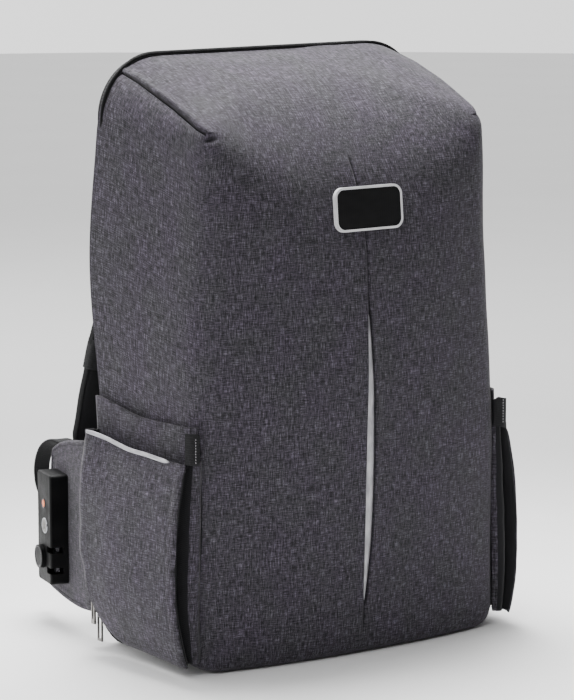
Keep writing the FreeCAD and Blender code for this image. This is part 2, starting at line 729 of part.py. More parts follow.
def lock_case():
    """The moulded case: open towards the wing, with windows for what it holds."""
    body = new_body("lock_case", wing_place(-1))
    low, high = ("-1 * lock_outer", "lock_front", "lock_low"), ("-1 * lock_inner", "lock_rear", "lock_high")
    pad = block(body, low, high)
    corners = round_edges(body, pad, lambda m, d: abs(d.x) > 0.9, "3")
    round_edges(body, corners, lambda m, d: m.x < 0.1 - value("lock_outer"), "1.6")
    block_cut(body, ("lock_wall - lock_outer", "lock_front + lock_wall", "lock_low + lock_wall"),
              ("1", "lock_rear - lock_wall", "lock_high - lock_wall"))
    block_cut(body, ("-1 * dial_inset - dial_radius - 0.4", "lock_rear - 3", "dial_first - 3.2"),
              ("dial_radius - dial_inset + 0.4", "lock_rear + 1", "dial_first + 2 * dial_pitch + 3.2"))
    bore(body, "YZ_Plane", ("key_depth", "key_height"), "key_radius + 0.1", "-1 * lock_outer - 1", "5", True)
    bore(body, "YZ_Plane", ("button_depth", "button_height"), "button_radius + 0.3", "-1 * lock_outer - 1", "5", True)
    bore(body, "YZ_Plane", ("lens_depth", "lens_height"), "3.1", "-1 * lock_outer - 1", "5", True)
    for low_end, high_end in (("90.5", "94"), ("118.3", "lock_high - 1")):
        block(body, ("-12", "73", low_end), ("-6", "lock_rear - 1.5", high_end))
    bore(body, "XY_Plane", ("-1 * dial_inset", "dial_depth"), "axle_radius", "lock_high - 3", "31")
    block(body, ("-6.4", "button_depth - 5", "button_height - 5"), ("-2.2", "lock_rear - 1", "button_height + 5"))
    for height in ("pull_slot_low", "pull_slot_high"):
        block_cut(body, ("-1 * lock_outer - 1", "lock_front - 1", height),
                  ("-6", "lock_front + 9.5", f"{height} + pull_slot_tall"))
    for index, (y, z) in enumerate(lock_screws_at()):
        boss_y = "lock_front + 6" if index == 0 else "lock_rear - 8"
        boss_z = "lock_high - 6" if index == 0 else "lock_low + 6"
        disc(body, "YZ_Plane", (boss_y, boss_z), "3", "1 - lock_outer", "lock_outer - lock_inner - 1")
        bore(body, "YZ_Plane", (boss_y, boss_z), "1.25", "-1 * lock_inner", "9")
    return body


def lock_fixings():
    """The backing plate inside the wing and its two screws."""
    plate_body = new_body("lock_backing_plate", wing_place(-1))
    block(plate_body, ("1.8", "lock_front - 1", "lock_low - 1"), ("3.6", "lock_rear + 1", "lock_high + 1"))
    for boss_y, boss_z in (("lock_front + 6", "lock_high - 6"), ("lock_rear - 8", "lock_low + 6")):
        bore(plate_body, "YZ_Plane", (boss_y, boss_z), "1.6", "4", "4")
    solids = []
    for y, z in lock_screws_at():
        shank = Part.makeCylinder(1.25, 12, Vector(-8.4, y, z), Vector(1, 0, 0))
        head = Part.makeCylinder(2.8, 1.6, Vector(3.6, y, z), Vector(1, 0, 0))
        drive = Part.makeBox(1.2, 3.6, 0.7, Vector(4.5, y - 1.8, z - 0.35))
        solids.append(shank.fuse(head).removeSplitter().cut(drive))
    shape_part("lock_screws", Part.makeCompound(solids), wing_place(-1))


def lock_dials():
    """Three number dials on one axle."""
    centre = ("-1 * dial_inset", "dial_depth")
    for number in range(3):
        body = new_body(f"lock_dial_{number + 1}", wing_place(-1))
        base = f"dial_first + {number} * dial_pitch - dial_thick / 2"
        disc(body, "XY_Plane", centre, "dial_radius", base, "dial_thick")
        bore(body, "XY_Plane", centre, "axle_radius + 0.06", f"{base} + dial_thick", "dial_thick")
    axle = new_body("dial_axle", wing_place(-1))
    disc(axle, "XY_Plane", centre, "axle_radius", "90.5", "30.4")


def lock_release():
    """The sprung release button, its spring and the latch bar behind the two slots."""
    button = new_body("release_button", wing_place(-1))
    centre = ("button_depth", "button_height")
    disc(button, "YZ_Plane", centre, "button_radius", "-1 * lock_outer - 3.5", "4.5")
    disc(button, "YZ_Plane", centre, "2.4", "1 - lock_outer", "4")
    coil_radius, wire_radius = 3.4, 0.4
    coil = Part.makeHelix(1.7, 8.5, coil_radius)
    profile = Part.Wire(Part.Circle(Vector(coil_radius, 0, 0), Vector(0, 1, 0), wire_radius).toShape())
    spring = Part.Wire(coil.Edges).makePipeShell([profile], True, True)
    turn = Placement(Vector(-15.4, value("button_depth"), value("button_height")),
                     Rotation(Vector(0, 1, 0), 90))
    shape_part("button_spring", spring, wing_place(-1).multiply(turn))
    latch = new_body("lock_latch", wing_place(-1))
    for height in ("pull_slot_low", "pull_slot_high"):
        block(latch, ("-11", "lock_front + 5", height), ("-8", "lock_front + 10", f"{height} + pull_slot_tall - 0.6"))
    block(latch, ("-11", "lock_front + 9.8", "pull_slot_low"), ("-8", "lock_front + 12.2", "pull_slot_high + 4.4"))


def key_cylinder():
    """The round key cylinder with its keyway."""
    body = new_body("key_cylinder", wing_place(-1))
    centre = ("key_depth", "key_height")
    disc(body, "YZ_Plane", centre, "key_radius", "-1 * lock_outer - 0.6", "11")
    block_cut(body, ("-1 * lock_outer - 1", "key_depth - 0.7", "key_height - 3"),
              ("4 - lock_outer", "key_depth + 0.7", "key_height + 3"))


def indicator_lens():
    """The small lens of the inspection indicator."""
    body = new_body("indicator_lens", wing_place(-1))
    disc(body, "YZ_Plane", ("lens_depth", "lens_height"), "3", "-1 * lock_outer - 0.5", "3")


# ---------------------------------------------------------------- zip sliders and pulls

def slider(label, low, bridge_at, reach):
    """A slider on the rim's left side, with a bridge for its pull."""
    body = new_body(label)
    outer = "-1 * case_width / 2 - 0.3 - slider_depth"
    block(body, (outer, "hinge_depth - slider_width / 2", low),
          ("-1 * case_width / 2 - 0.3", "hinge_depth + slider_width / 2", f"{low} + slider_long"))
    far = f"-1 * case_width / 2 - 0.3 - slider_depth - {reach}"
    near_y, far_y = f"{bridge_at} - 1.2", f"{bridge_at} + 1.2"
    block(body, (f"{far} - 1.2", near_y, f"{low} + 0.5"), (outer, far_y, f"{low} + slider_long - 0.5"))
    block_cut(body, (far, f"{bridge_at} - 2", f"{low} + 1.8"), (outer, f"{bridge_at} + 2", f"{low} + slider_long - 1.8"))


def bar_pull():
    """The long bar pull: a crossbar in the bridge, two cheeks and a slim bar with rounded ends."""
    body = new_body("zip_pull_bar")
    pivot = ("-159.6", "slider_upper + slider_long / 2")
    low = "slider_upper + slider_long / 2"
    for cheek in ("57.2", "60.9"):
        block(body, ("-160.5", cheek, f"{low} - 9"), ("-158.7", f"{cheek} + 0.9", f"{low} + 1"))
    block(body, ("-160.5", "57.2", f"{low} - 44"), ("-158.7", "61.8", f"{low} - 7"))
    block_cut(body, ("-162", "58.6", f"{low} - 40"), ("-158", "60.4", f"{low} - 14"))
    sketch = new_sketch(body, "XZ_Plane", "-1 * 57.2")
    circle(sketch, pivot, "0.9")
    pad = body.newObject("PartDesign::Pad", "Pad")
    pad.Profile = sketch
    bind(pad, "Length", "4.6")
    pad.Reversed = True


def loop_pull():
    """The open loop pull on the lower slider."""
    body = new_body("zip_pull_loop")
    low = "slider_lower + slider_long / 2"
    block(body, ("-158.1", "50.2", f"{low} - 31"), ("-156.7", "56.6", f"{low} + 0.7"))
    block_cut(body, ("-159", "51.3", f"{low} - 29"), ("-155", "55.5", f"{low} - 12"))
    block_cut(body, ("-159", "51.3", f"{low} - 9"), ("-155", "55.5", f"{low} + 2"))
    sketch = new_sketch(body, "XZ_Plane", "-1 * 50.2")
    circle(sketch, ("-157.4", low), "0.7")
    pad = body.newObject("PartDesign::Pad", "Pad")
    pad.Profile = sketch
    bind(pad, "Length", "6.4")
    pad.Reversed = True


# ---------------------------------------------------------------- the whole object

front_shell()
base_board()
front_reflector()
solar_module()
panel_lead()
zip_halves()
hinge_gusset()
for side in (-1, 1):
    side_pocket(side)
inner_pockets()
power_bank()
back_board()
back_cover()
back_pads()
laptop_sleeve()
trolley_sleeve()
grab_handle()
for side in (-1, 1):
    shoulder_strap(side)
    wing(side)
    webbing(side)
lock_case()
lock_fixings()
lock_dials()
lock_release()
key_cylinder()
indicator_lens()
slider("zip_slider_upper", "slider_upper", "59.5", "5")
slider("zip_slider_lower", "slider_lower", "53.4", "2.2")
bar_pull()
loop_pull()
doc.recompute()

failed = [o.Name for o in doc.Objects if "Invalid" in o.State or "Error" in o.State]
if failed:
    raise SystemExit(f"these objects failed: {failed}")
for part in parts:
    if part.Shape.isNull() or not part.Shape.isValid() or not part.Shape.Solids:
        raise SystemExit(f"{part.Label} has no valid solid")
os.makedirs("parts", exist_ok=True)
for part in parts:
    part.Shape.exportStep(f"parts/{part.Label}.step")
print(len(parts), "sub-parts written")
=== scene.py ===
"""The backpack's looks: fabric, webbing, stitching, zip, lock and finishes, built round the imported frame.

Places and sizes are in millimetres, in the frame's axes, and make_piece turns them into metres.
"""
import math

import bmesh
import bpy
import numpy as np
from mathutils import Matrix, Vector, noise


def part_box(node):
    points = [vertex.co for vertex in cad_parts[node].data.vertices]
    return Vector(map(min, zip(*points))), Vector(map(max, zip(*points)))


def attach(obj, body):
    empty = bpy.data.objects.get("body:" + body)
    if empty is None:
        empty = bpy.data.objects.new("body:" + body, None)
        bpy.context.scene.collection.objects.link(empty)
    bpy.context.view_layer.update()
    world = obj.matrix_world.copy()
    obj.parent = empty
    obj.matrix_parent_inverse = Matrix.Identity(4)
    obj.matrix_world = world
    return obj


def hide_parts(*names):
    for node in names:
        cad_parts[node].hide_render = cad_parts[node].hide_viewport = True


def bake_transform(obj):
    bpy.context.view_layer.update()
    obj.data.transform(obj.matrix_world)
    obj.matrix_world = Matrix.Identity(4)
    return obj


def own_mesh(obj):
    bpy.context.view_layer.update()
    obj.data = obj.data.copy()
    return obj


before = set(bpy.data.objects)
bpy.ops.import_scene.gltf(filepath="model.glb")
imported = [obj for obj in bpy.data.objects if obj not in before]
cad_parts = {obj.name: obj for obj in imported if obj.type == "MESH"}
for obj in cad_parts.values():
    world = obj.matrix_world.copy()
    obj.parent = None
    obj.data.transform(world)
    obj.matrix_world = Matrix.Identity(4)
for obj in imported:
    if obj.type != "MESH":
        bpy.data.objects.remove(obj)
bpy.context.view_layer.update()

MM = 0.001
BACKWARDS = np.array([0.0, 1.0, 0.0])
UPWARDS = np.array([0.0, 0.0, 1.0])


# ---------------------------------------------------------------- sizes, read from the frame

def node_box(name):
    """Lowest and highest corner of a node, in millimetres."""
    low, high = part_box(name)
    return np.array(low) / MM, np.array(high) / MM


shell_high = node_box("front_shell")[1]
HALF = shell_high[0]                    # half width at the open rear rim
HEIGHT = shell_high[2]
REAR = shell_high[1]
FRONT = -65.0                           # Y where the flat sides end
DEPTH = REAR - FRONT
FRONT_HALF_LOW = 146.0
FRONT_HALF_TOP = 130.0
TOP_DROP = 50.0                         # how much lower the top's front edge is than its rear edge
BULGE = 26.0                            # how far the front crowns out
CORNER_TOP = 56.0                       # blend widths of the rounded edges
CORNER_LOW = 30.0
REAR_RISE = 20.0                        # how far the base lifts at its two rear corners

SLIT_LOW, SLIT_HIGH = (corner[2] for corner in node_box("front_reflector"))
cover_low, cover_high = node_box("back_cover")
hinge_low, hinge_high = node_box("hinge_gusset")
HINGE_X = (hinge_low[0] + hinge_high[0]) / 2 + 0.5
HINGE_LOW, HINGE_HIGH = hinge_low[2], hinge_high[2]


# ---------------------------------------------------------------- small maths

def smooth(low, high, value):
    t = np.clip((value - low) / (high - low), 0, 1)
    return t * t * (3 - 2 * t)


def hump(centre, width, value):
    return np.exp(-((value - centre) / width) ** 2)


def unit(vectors):
    length = np.linalg.norm(vectors, axis=-1, keepdims=True)
    return vectors / np.maximum(length, 1e-9)


def blend_max(a, b, width):
    """The larger of two fields, rounded where they are within width of each other."""
    near = np.maximum(width - np.abs(a - b), 0) / width
    return np.maximum(a, b) + near * near * width / 4


def ripple(places, size, seed=0.0):
    """Smooth noise about zero at each place, with waves of a size in millimetres."""
    offset = Vector((seed, seed * 1.7, -seed))
    return np.array([noise.noise(Vector(p) / size + offset) for p in places.reshape(-1, 3)]).reshape(
        places.shape[:-1])


def along_curve(knots, count):
    """Points evenly spaced along a smooth curve through knots."""
    knots = np.array(knots, float)
    padded = np.vstack([2 * knots[0] - knots[1], knots, 2 * knots[-1] - knots[-2]])
    fine = []
    for i in range(len(knots) - 1):
        p0, p1, p2, p3 = padded[i:i + 4]
        t = np.linspace(0, 1, 24, endpoint=False)[:, None]
        fine.append(0.5 * (2 * p1 + (p2 - p0) * t + (2 * p0 - 5 * p1 + 4 * p2 - p3) * t ** 2
                           + (3 * p1 - p0 - 3 * p2 + p3) * t ** 3))
    fine = np.vstack(fine + [knots[-1:]])
    return evenly(fine, count)


def lengths(path):
    """Distance along a path at each of its points."""
    return np.concatenate([[0], np.cumsum(np.linalg.norm(np.diff(path, axis=0), axis=1))])


def evenly(path, count, endpoint=True):
    """A path's points at even distances along it."""
    steps = lengths(path)
    wanted = np.linspace(0, steps[-1], count, endpoint=endpoint)
    return np.stack([np.interp(wanted, steps, path[:, i]) for i in range(path.shape[1])], 1)


def tangents(path, closed=False):
    if closed:
        return unit(np.roll(path, -1, axis=0) - np.roll(path, 1, axis=0))
    return unit(np.gradient(path, axis=0))


# ---------------------------------------------------------------- mesh building

def make_piece(name, verts, faces, body, materials, uv=None, face_slots=None, sharp=None):
    """A mesh piece that rides on a body, with its finishes by name from MATERIALS.

    uv gives each vertex's place on the cloth, in millimetres.
    """
    mesh = bpy.data.meshes.new(name)
    mesh.from_pydata((np.asarray(verts, float) * MM).tolist(), [], [tuple(map(int, f)) for f in faces])
    mesh.polygons.foreach_set("use_smooth", [True] * len(mesh.polygons))
    for material in materials:
        mesh.materials.append(MATERIALS[material])
    if face_slots is not None:
        mesh.polygons.foreach_set("material_index", list(face_slots))
    if uv is not None:
        layer = mesh.uv_layers.new(name="cloth")
        loops = np.empty(len(mesh.loops), int)
        mesh.loops.foreach_get("vertex_index", loops)
        layer.data.foreach_set("uv", (np.asarray(uv, float)[loops] * MM).ravel())
    if sharp is not None:
        mesh.set_sharp_from_angle(angle=math.radians(sharp))
    mesh.update()
    piece = bpy.data.objects.new(name, mesh)
    bpy.context.scene.collection.objects.link(piece)
    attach(piece, body)
    return piece


def grid_faces(rows, columns, closed=False, first=0, flip=False):
    """Quads of a grid of vertices, row by row; closed joins the last column to the first."""
    faces = []
    for r in range(rows - 1):
        for c in range(columns if closed else columns - 1):
            a = first + r * columns + c
            b = first + r * columns + (c + 1) % columns
            quad = (a, b, b + columns, a + columns)
            faces.append(quad[::-1] if flip else quad)
    return faces


def cloth_grid(across, along):
    """Cloth places of a grid from its places across and along the cloth."""
    return np.stack(np.broadcast_arrays(across, along), -1)


def capped_faces(rows, columns):
    """Faces of a closed stack of rings with both ends filled."""
    faces = grid_faces(rows, columns, closed=True, flip=True)
    faces.append(tuple((rows - 1) * columns + np.arange(columns))[::-1])
    faces.append(tuple(np.arange(columns)))
    return faces


def grid_normals(grid):
    across = np.gradient(grid, axis=1)
    down = np.gradient(grid, axis=0)
    return unit(np.cross(across, down))


def thick_sheet(grid, thick, uv):
    """Two skins of a sheet and its rim. The grid is the outer skin; the inner lies against its normals."""
    rows, columns = grid.shape[:2]
    inner = grid - grid_normals(grid) * thick
    count = rows * columns
    verts = np.vstack([grid.reshape(-1, 3), inner.reshape(-1, 3)])
    faces = grid_faces(rows, columns) + grid_faces(rows, columns, first=count, flip=True)
    skins = len(faces)
    edge = [r * columns for r in range(rows - 1, 0, -1)] + list(range(columns - 1))
    edge += [r * columns + columns - 1 for r in range(rows - 1)]
    edge += [(rows - 1) * columns + c for c in range(columns - 1, 0, -1)]
    for a, b in zip(edge, edge[1:] + edge[:1]):
        faces.append((b, a, a + count, b + count))
    half = grid_faces(rows, columns)
    face_slots = [0] * len(half) + [1] * len(half) + [0] * (len(faces) - skins)
    flat = np.asarray(uv, float).reshape(-1, 2)
    return verts, faces, np.vstack([flat, flat]), face_slots


def sheet_piece(name, grid, thick, uv, body, materials):
    verts, faces, flat, face_slots = thick_sheet(grid, thick, uv)
    if len(materials) == 1:
        face_slots = [0] * len(faces)
    return make_piece(name, verts, faces, body, materials, flat, face_slots)


def sweep(path, outline, facing, closed=False, scale=None):
    """Vertices, faces and cloth places of an outline (across, out) swept along a path.

    facing is the out direction at each point of the path; scale widens or thins the outline along it.
    """
    path = np.asarray(path, float)
    ahead = tangents(path, closed)
    facing = np.broadcast_to(np.asarray(facing, float), path.shape)
    across = unit(np.cross(ahead, facing))
    out = unit(np.cross(across, ahead))
    outline = np.asarray(outline, float)
    scale = np.ones((len(path), 2)) if scale is None else np.asarray(scale, float)
    ring = (path[:, None] + across[:, None] * (outline[None, :, :1] * scale[:, None, :1])
            + out[:, None] * (outline[None, :, 1:] * scale[:, None, 1:]))
    count, sides = ring.shape[:2]
    verts = ring.reshape(-1, 3)
    faces = []
    for i in range(count if closed else count - 1):
        a, b = i * sides, ((i + 1) % count) * sides
        faces += [(a + j, a + (j + 1) % sides, b + (j + 1) % sides, b + j) for j in range(sides)]
    if not closed:
        faces.append(tuple(range(sides))[::-1])
        faces.append(tuple(range((count - 1) * sides, count * sides)))
    uv = np.stack(np.meshgrid(lengths(outline), lengths(path)), -1).reshape(-1, 2)
    return verts, faces, uv


def join(parts):
    """One set of vertices, faces and cloth places from several."""
    verts, faces, uv, first = [], [], [], 0
    for v, f, t in parts:
        verts.append(v)
        uv.append(t)
        faces += [tuple(i + first for i in face) for face in f]
        first += len(v)
    return np.vstack(verts), faces, np.vstack(uv)


def sweep_piece(name, path, outline, facing, body, material, closed=False, scale=None):
    verts, faces, uv = sweep(path, outline, facing, closed, scale)
    return make_piece(name, verts, faces, body, [material], uv)


def oval(wide, tall, power=2.0, sides=24):
    """Points of a rounded outline; a higher power squares it."""
    t = np.arange(sides) * 2 * math.pi / sides
    c, s = np.cos(t), np.sin(t)
    return np.stack([np.sign(c) * np.abs(c) ** (2 / power) * wide / 2,
                     np.sign(s) * np.abs(s) ** (2 / power) * tall / 2], 1)


def stitches(name, paths, facing, body, long=2.6, gap=1.4, thick=0.62, colour="thread_grey"):
    """Rows of sewn stitches: each is a short thread that dips into the cloth at both ends."""
    bends = np.array([-1.0, -0.62, 0.0, 0.62, 1.0])
    lift = np.array([-0.35, 0.25, 0.5, 0.25, -0.35]) * thick
    girth = np.array([0.35, 0.9, 1.0, 0.9, 0.35]) * thick / 2
    ring = np.arange(5) * 2 * math.pi / 5
    verts, faces, uv = [], [], []
    for path, out in zip(paths, facing):
        path = np.asarray(path, float)
        out = np.broadcast_to(np.asarray(out, float), path.shape)
        steps = lengths(path)
        centres = np.arange(long / 2 + gap / 2, steps[-1] - long / 2, long + gap)
        for s in centres:
            place = np.array([np.interp(s, steps, path[:, i]) for i in range(3)])
            ahead_at = np.array([np.interp(s + 0.8, steps, path[:, i]) for i in range(3)])
            normal = unit(np.array([np.interp(s, steps, out[:, i]) for i in range(3)]))
            ahead = unit(ahead_at - place)
            across = unit(np.cross(ahead, normal))
            first = len(verts)
            for bend, up, radius in zip(bends, lift, girth):
                middle = place + ahead * bend * long / 2 + normal * up
                for angle in ring:
                    verts.append(middle + across * math.cos(angle) * radius
                                 + normal * math.sin(angle) * radius)
                    uv.append((s + bend, angle))
            for i in range(4):
                for j in range(5):
                    a, b = first + i * 5, first + (i + 1) * 5
                    faces.append((a + j, a + (j + 1) % 5, b + (j + 1) % 5, b + j))
            faces.append(tuple(range(first, first + 5))[::-1])
            faces.append(tuple(range(first + 20, first + 25)))
    return make_piece(name, verts, faces, body, [colour], uv)


# ---------------------------------------------------------------- materials

class Finish:
    """A node material in the making: nodes are added by kind, with inputs set or linked by name."""

    def __init__(self, name):
        self.material = bpy.data.materials.new(name)
        self.material.use_nodes = True
        self.tree = self.material.node_tree
        self.shader = self.tree.nodes["Principled BSDF"]

    def node(self, kind, inputs=None, output=0, **settings):
        made = self.tree.nodes.new("ShaderNode" + kind)
        for key, setting in settings.items():
            setattr(made, key, setting)
        for key, given in (inputs or {}).items():
            self.feed(made.inputs[key], given)
        return made.outputs[output]

    def feed(self, socket, given):
        if isinstance(given, bpy.types.NodeSocket):
            self.tree.links.new(given, socket)
        else:
            socket.default_value = given

    def set(self, **inputs):
        names = {"colour": "Base Color", "rough": "Roughness", "metal": "Metallic", "bump": "Normal",
                 "sheen": "Sheen Weight", "coat": "Coat Weight", "coat_rough": "Coat Roughness",
                 "specular": "Specular IOR Level", "sheen_rough": "Sheen Roughness"}
        for key, given in inputs.items():
            self.feed(self.shader.inputs[names[key]], given)
        return self.material

    def cloth_place(self, way):
        """Place on the cloth in millimetres: way is uv, or two axes of the object's own coordinates."""
        in_mm = (1 / MM, 1 / MM, 1 / MM)
        if way == "uv":
            start = self.node("UVMap", uv_map="cloth")
            return self.node("Mapping", {"Vector": start, "Scale": in_mm})
        own = self.node("TexCoord", output=3)
        split = self.node("SeparateXYZ", {"Vector": own}).node
        pick = [split.outputs["xyz".index(axis)] for axis in way]
        third = split.outputs[3 - "xyz".index(way[0]) - "xyz".index(way[1])]
        flat = self.node("CombineXYZ", {"X": pick[0], "Y": pick[1], "Z": third})
        return self.node("Mapping", {"Vector": flat, "Scale": in_mm})

    def stretched(self, place, wide, tall, detail=1.0, seed=0.0):
        """Noise whose grains are wide by tall millimetres."""
        moved = self.node("Mapping", {"Vector": place, "Scale": (1 / wide, 1 / tall, 1 / max(wide, tall)),
                                      "Location": (seed, seed * 0.7, 0)})
        return self.node("TexNoise", {"Vector": moved, "Scale": 1.0, "Detail": detail, "Roughness": 0.5},
                         noise_dimensions="3D")

    def maths(self, operation, a, b=0.0, c=0.0):
        return self.node("Math", {0: a, 1: b, 2: c}, operation=operation)

    def weighed(self, *pairs):
        """Sum of values, each given with its weight."""
        total = None
        for given, weight in pairs:
            part = self.maths("MULTIPLY", given, weight)
            total = part if total is None else self.maths("ADD", total, part)
        return total

    def mix(self, factor, a, b, blend="MIX"):
        made = self.tree.nodes.new("ShaderNodeMix")
        made.data_type = "RGBA"
        made.blend_type = blend
        self.feed(made.inputs[0], factor)
        self.feed(made.inputs[6], a)
        self.feed(made.inputs[7], b)
        return made.outputs[2]

    def ramp(self, factor, stops):
        made = self.tree.nodes.new("ShaderNodeValToRGB")
        self.feed(made.inputs[0], factor)
        band = made.color_ramp
        while len(band.elements) < len(stops):
            band.elements.new(0.5)
        for element, (place, colour) in zip(band.elements, stops):
            element.position = place
            element.color = colour
        return made.outputs[0]

    def bump(self, height, distance, strength=1.0, under=None):
        inputs = {"Height": height, "Distance": distance * MM, "Strength": strength}
        if under is not None:
            inputs["Normal"] = under
        return self.node("Bump", inputs)


def colour(red, green, blue):
    """A colour given as screen values from 0 to 255."""
    linear = [((c / 255 + 0.055) / 1.055) ** 2.4 if c > 10 else c / 255 / 12.92 for c in (red, green, blue)]
    return (*linear, 1.0)


def grey(level):
    return (level, level, level, 1.0)


def woven(finish, place, pitch, over=0.5):
    """Height of a plain weave: threads pass over and under each other at a pitch in millimetres."""
    turn = math.pi / pitch
    split = finish.node("SeparateXYZ", {"Vector": place}).node
    wave_u = finish.maths("SINE", finish.maths("MULTIPLY", split.outputs[0], turn))
    wave_v = finish.maths("SINE", finish.maths("MULTIPLY", split.outputs[1], turn))
    crossing = finish.maths("MULTIPLY", wave_u, wave_v)
    return finish.maths("MULTIPLY_ADD", crossing, over, 0.5), crossing


def melange(name, way="uv"):
    """Marled linen-look cloth: pale and dark slub threads that cross, down the cloth and over it."""
    finish = Finish(name)
    place = finish.cloth_place(way)
    down = finish.stretched(place, 0.85, 7.5, 2.0)
    across = finish.stretched(place, 6.5, 0.85, 2.0, seed=7.3)
    flecks = finish.stretched(place, 0.7, 1.1, 1.0, seed=4.4)
    threads = finish.weighed((down, 0.46), (across, 0.36), (flecks, 0.18))
    over, _ = woven(finish, place, 0.9)
    slubs = finish.stretched(place, 2.2, 22, 1.0, seed=3.1)
    bars = finish.stretched(place, 18, 2.2, 1.0, seed=5.5)
    patches = finish.stretched(place, 30, 38, 2.0, seed=1.2)
    fine = finish.ramp(threads, [(0.37, colour(22, 21, 23)), (0.46, colour(43, 41, 45)),
                                 (0.54, colour(65, 62, 69)), (0.65, colour(98, 93, 103))])
    long_marks = finish.ramp(slubs, [(0.36, grey(0.84)), (0.5, grey(0.99)), (0.66, grey(1.16))])
    bar_marks = finish.ramp(bars, [(0.36, grey(0.88)), (0.64, grey(1.12))])
    tint = finish.ramp(patches, [(0.35, (0.96, 0.99, 0.96, 1)), (0.65, (1.04, 0.98, 1.08, 1))])
    shade = finish.mix(1.0, fine, long_marks, "MULTIPLY")
    shade = finish.mix(1.0, shade, bar_marks, "MULTIPLY")
    shade = finish.mix(1.0, shade, tint, "MULTIPLY")
    # The crease attribute carries painted shade: it mixes the cloth towards near-black in the dart grooves,
    # the centre seam, the slit and the dart-end notch, where shade falls.
    painted_shade_amount = finish.node("Attribute", attribute_name="crease", output=2)
    shade = finish.mix(painted_shade_amount, shade, colour(12, 11, 13))
    rough = finish.maths("MULTIPLY_ADD", down, 0.2, 0.78)
    soft = finish.bump(patches, 0.8, 0.35)
    weave = finish.bump(threads, 0.6, 0.8, soft)
    weave = finish.bump(over, 0.2, 0.5, weave)
    return finish.set(colour=shade, rough=rough, bump=weave, sheen=0.1, sheen_rough=0.4, specular=0.25)


def plain_cloth(name, dark, pale, pitch=0.8, way="uv", rough=0.85, sheen=0.1):
    """Plain woven nylon or polyester in one colour, with uneven threads and slight fading."""
    finish = Finish(name)
    place = finish.cloth_place(way)
    over, crossing = woven(finish, place, pitch)
    uneven = finish.stretched(place, pitch * 3, pitch * 3, 3.0)
    faded = finish.stretched(place, 34, 42, 2.0, seed=2.0)
    level = finish.maths("MULTIPLY_ADD", crossing, 0.22, 0.25)
    level = finish.maths("ADD", level, finish.weighed((uneven, 0.35), (faded, 0.25)))
    shade = finish.ramp(level, [(0.25, dark), (0.8, pale)])
    spread = finish.node("MapRange", {"Value": uneven, "To Min": rough - 0.1,
                                      "To Max": min(1.0, rough + 0.1)})
    weave = finish.bump(over, 0.22, 0.6, finish.bump(uneven, 0.25, 0.5))
    return finish.set(colour=shade, rough=spread, bump=weave, sheen=sheen, sheen_rough=0.4, specular=0.25)


def ribbed(name, dark, pale, rib=1.4, rough=0.62):
    """Woven tape or webbing: ribs run along it, and the weft crosses them."""
    finish = Finish(name)
    place = finish.cloth_place("uv")
    split = finish.node("SeparateXYZ", {"Vector": place}).node
    ribs = finish.maths("SINE", finish.maths("MULTIPLY", split.outputs[0], 2 * math.pi / rib))
    offset = finish.maths("MULTIPLY", finish.maths("SIGN", ribs), 0.45)
    weft = finish.maths("ADD", finish.maths("MULTIPLY", split.outputs[1], 2 * math.pi / 1.8), offset)
    weft = finish.maths("SINE", weft)
    height = finish.maths("ADD", finish.maths("ABSOLUTE", ribs), finish.maths("MULTIPLY", weft, 0.35))
    uneven = finish.stretched(place, 2.5, 2.5, 3.0)
    level = finish.weighed((height, 0.42), (uneven, 0.5))
    shade = finish.ramp(level, [(0.2, dark), (0.95, pale)])
    spread = finish.node("MapRange", {"Value": uneven, "To Min": rough - 0.1, "To Max": rough + 0.14})
    return finish.set(colour=shade, rough=spread, bump=finish.bump(height, 0.3, 0.8), specular=0.25)


def spacer_mesh(name):
    """Open knitted air mesh: a honeycomb of small holes over a darker ground."""
    finish = Finish(name)
    place = finish.cloth_place("xz")
    cells = finish.node("TexVoronoi", {"Vector": place, "Scale": 0.36, "Randomness": 0.12},
                        voronoi_dimensions="2D", feature="F1", output=0)
    holes = finish.ramp(cells, [(0.18, grey(0.0)), (0.36, grey(1.0))])
    uneven = finish.stretched(place, 1.2, 1.2, 2.0)
    faded = finish.stretched(place, 40, 50, 2.0)
    thread = finish.ramp(finish.weighed((uneven, 0.6), (faded, 0.4)),
                         [(0.35, colour(19, 19, 21)), (0.65, colour(43, 42, 46))])
    shade = finish.mix(holes, colour(5, 5, 6), thread)
    bump = finish.bump(holes, 0.9, 0.9, finish.bump(uneven, 0.3, 0.4))
    return finish.set(colour=shade, rough=0.82, bump=bump, sheen=0.15, specular=0.2)


def retroreflective(name):
    """Pale glass-bead tape: satin, with a faint honeycomb and creases."""
    finish = Finish(name)
    place = finish.cloth_place("uv")
    cells = finish.node("TexVoronoi", {"Vector": place, "Scale": 0.7, "Randomness": 0.1},
                        voronoi_dimensions="2D", feature="DISTANCE_TO_EDGE", output=0)
    creased = finish.stretched(place, 7, 16, 3.0)
    shade = finish.ramp(creased, [(0.35, colour(148, 147, 152)), (0.65, colour(190, 189, 193))])
    bump = finish.bump(cells, 0.12, 0.4, finish.bump(creased, 0.8, 0.3))
    spread = finish.node("MapRange", {"Value": creased, "To Min": 0.34, "To Max": 0.55})
    return finish.set(colour=shade, rough=spread, metal=0.35, bump=bump, specular=0.5)


def moulded(name, dark, pale, rough=0.45, grain=0.5, coat=0.0, way="yz", shine=0.3):
    """Moulded plastic: fine spark grain, slight unevenness and rubbed patches."""
    finish = Finish(name)
    place = finish.cloth_place(way)
    fine = finish.stretched(place, grain, grain, 4.0)
    rubbed = finish.stretched(place, 9, 13, 4.0, seed=4.0)
    shade = finish.ramp(finish.weighed((fine, 0.35), (rubbed, 0.65)), [(0.35, dark), (0.7, pale)])
    spread = finish.node("MapRange", {"Value": rubbed, "From Min": 0.3, "From Max": 0.7,
                                      "To Min": rough - 0.1, "To Max": rough + 0.12})
    bump = finish.bump(fine, 0.06, 0.6, finish.bump(rubbed, 0.2, 0.2))
    return finish.set(colour=shade, rough=spread, bump=bump, coat=coat, coat_rough=0.25, specular=shine)


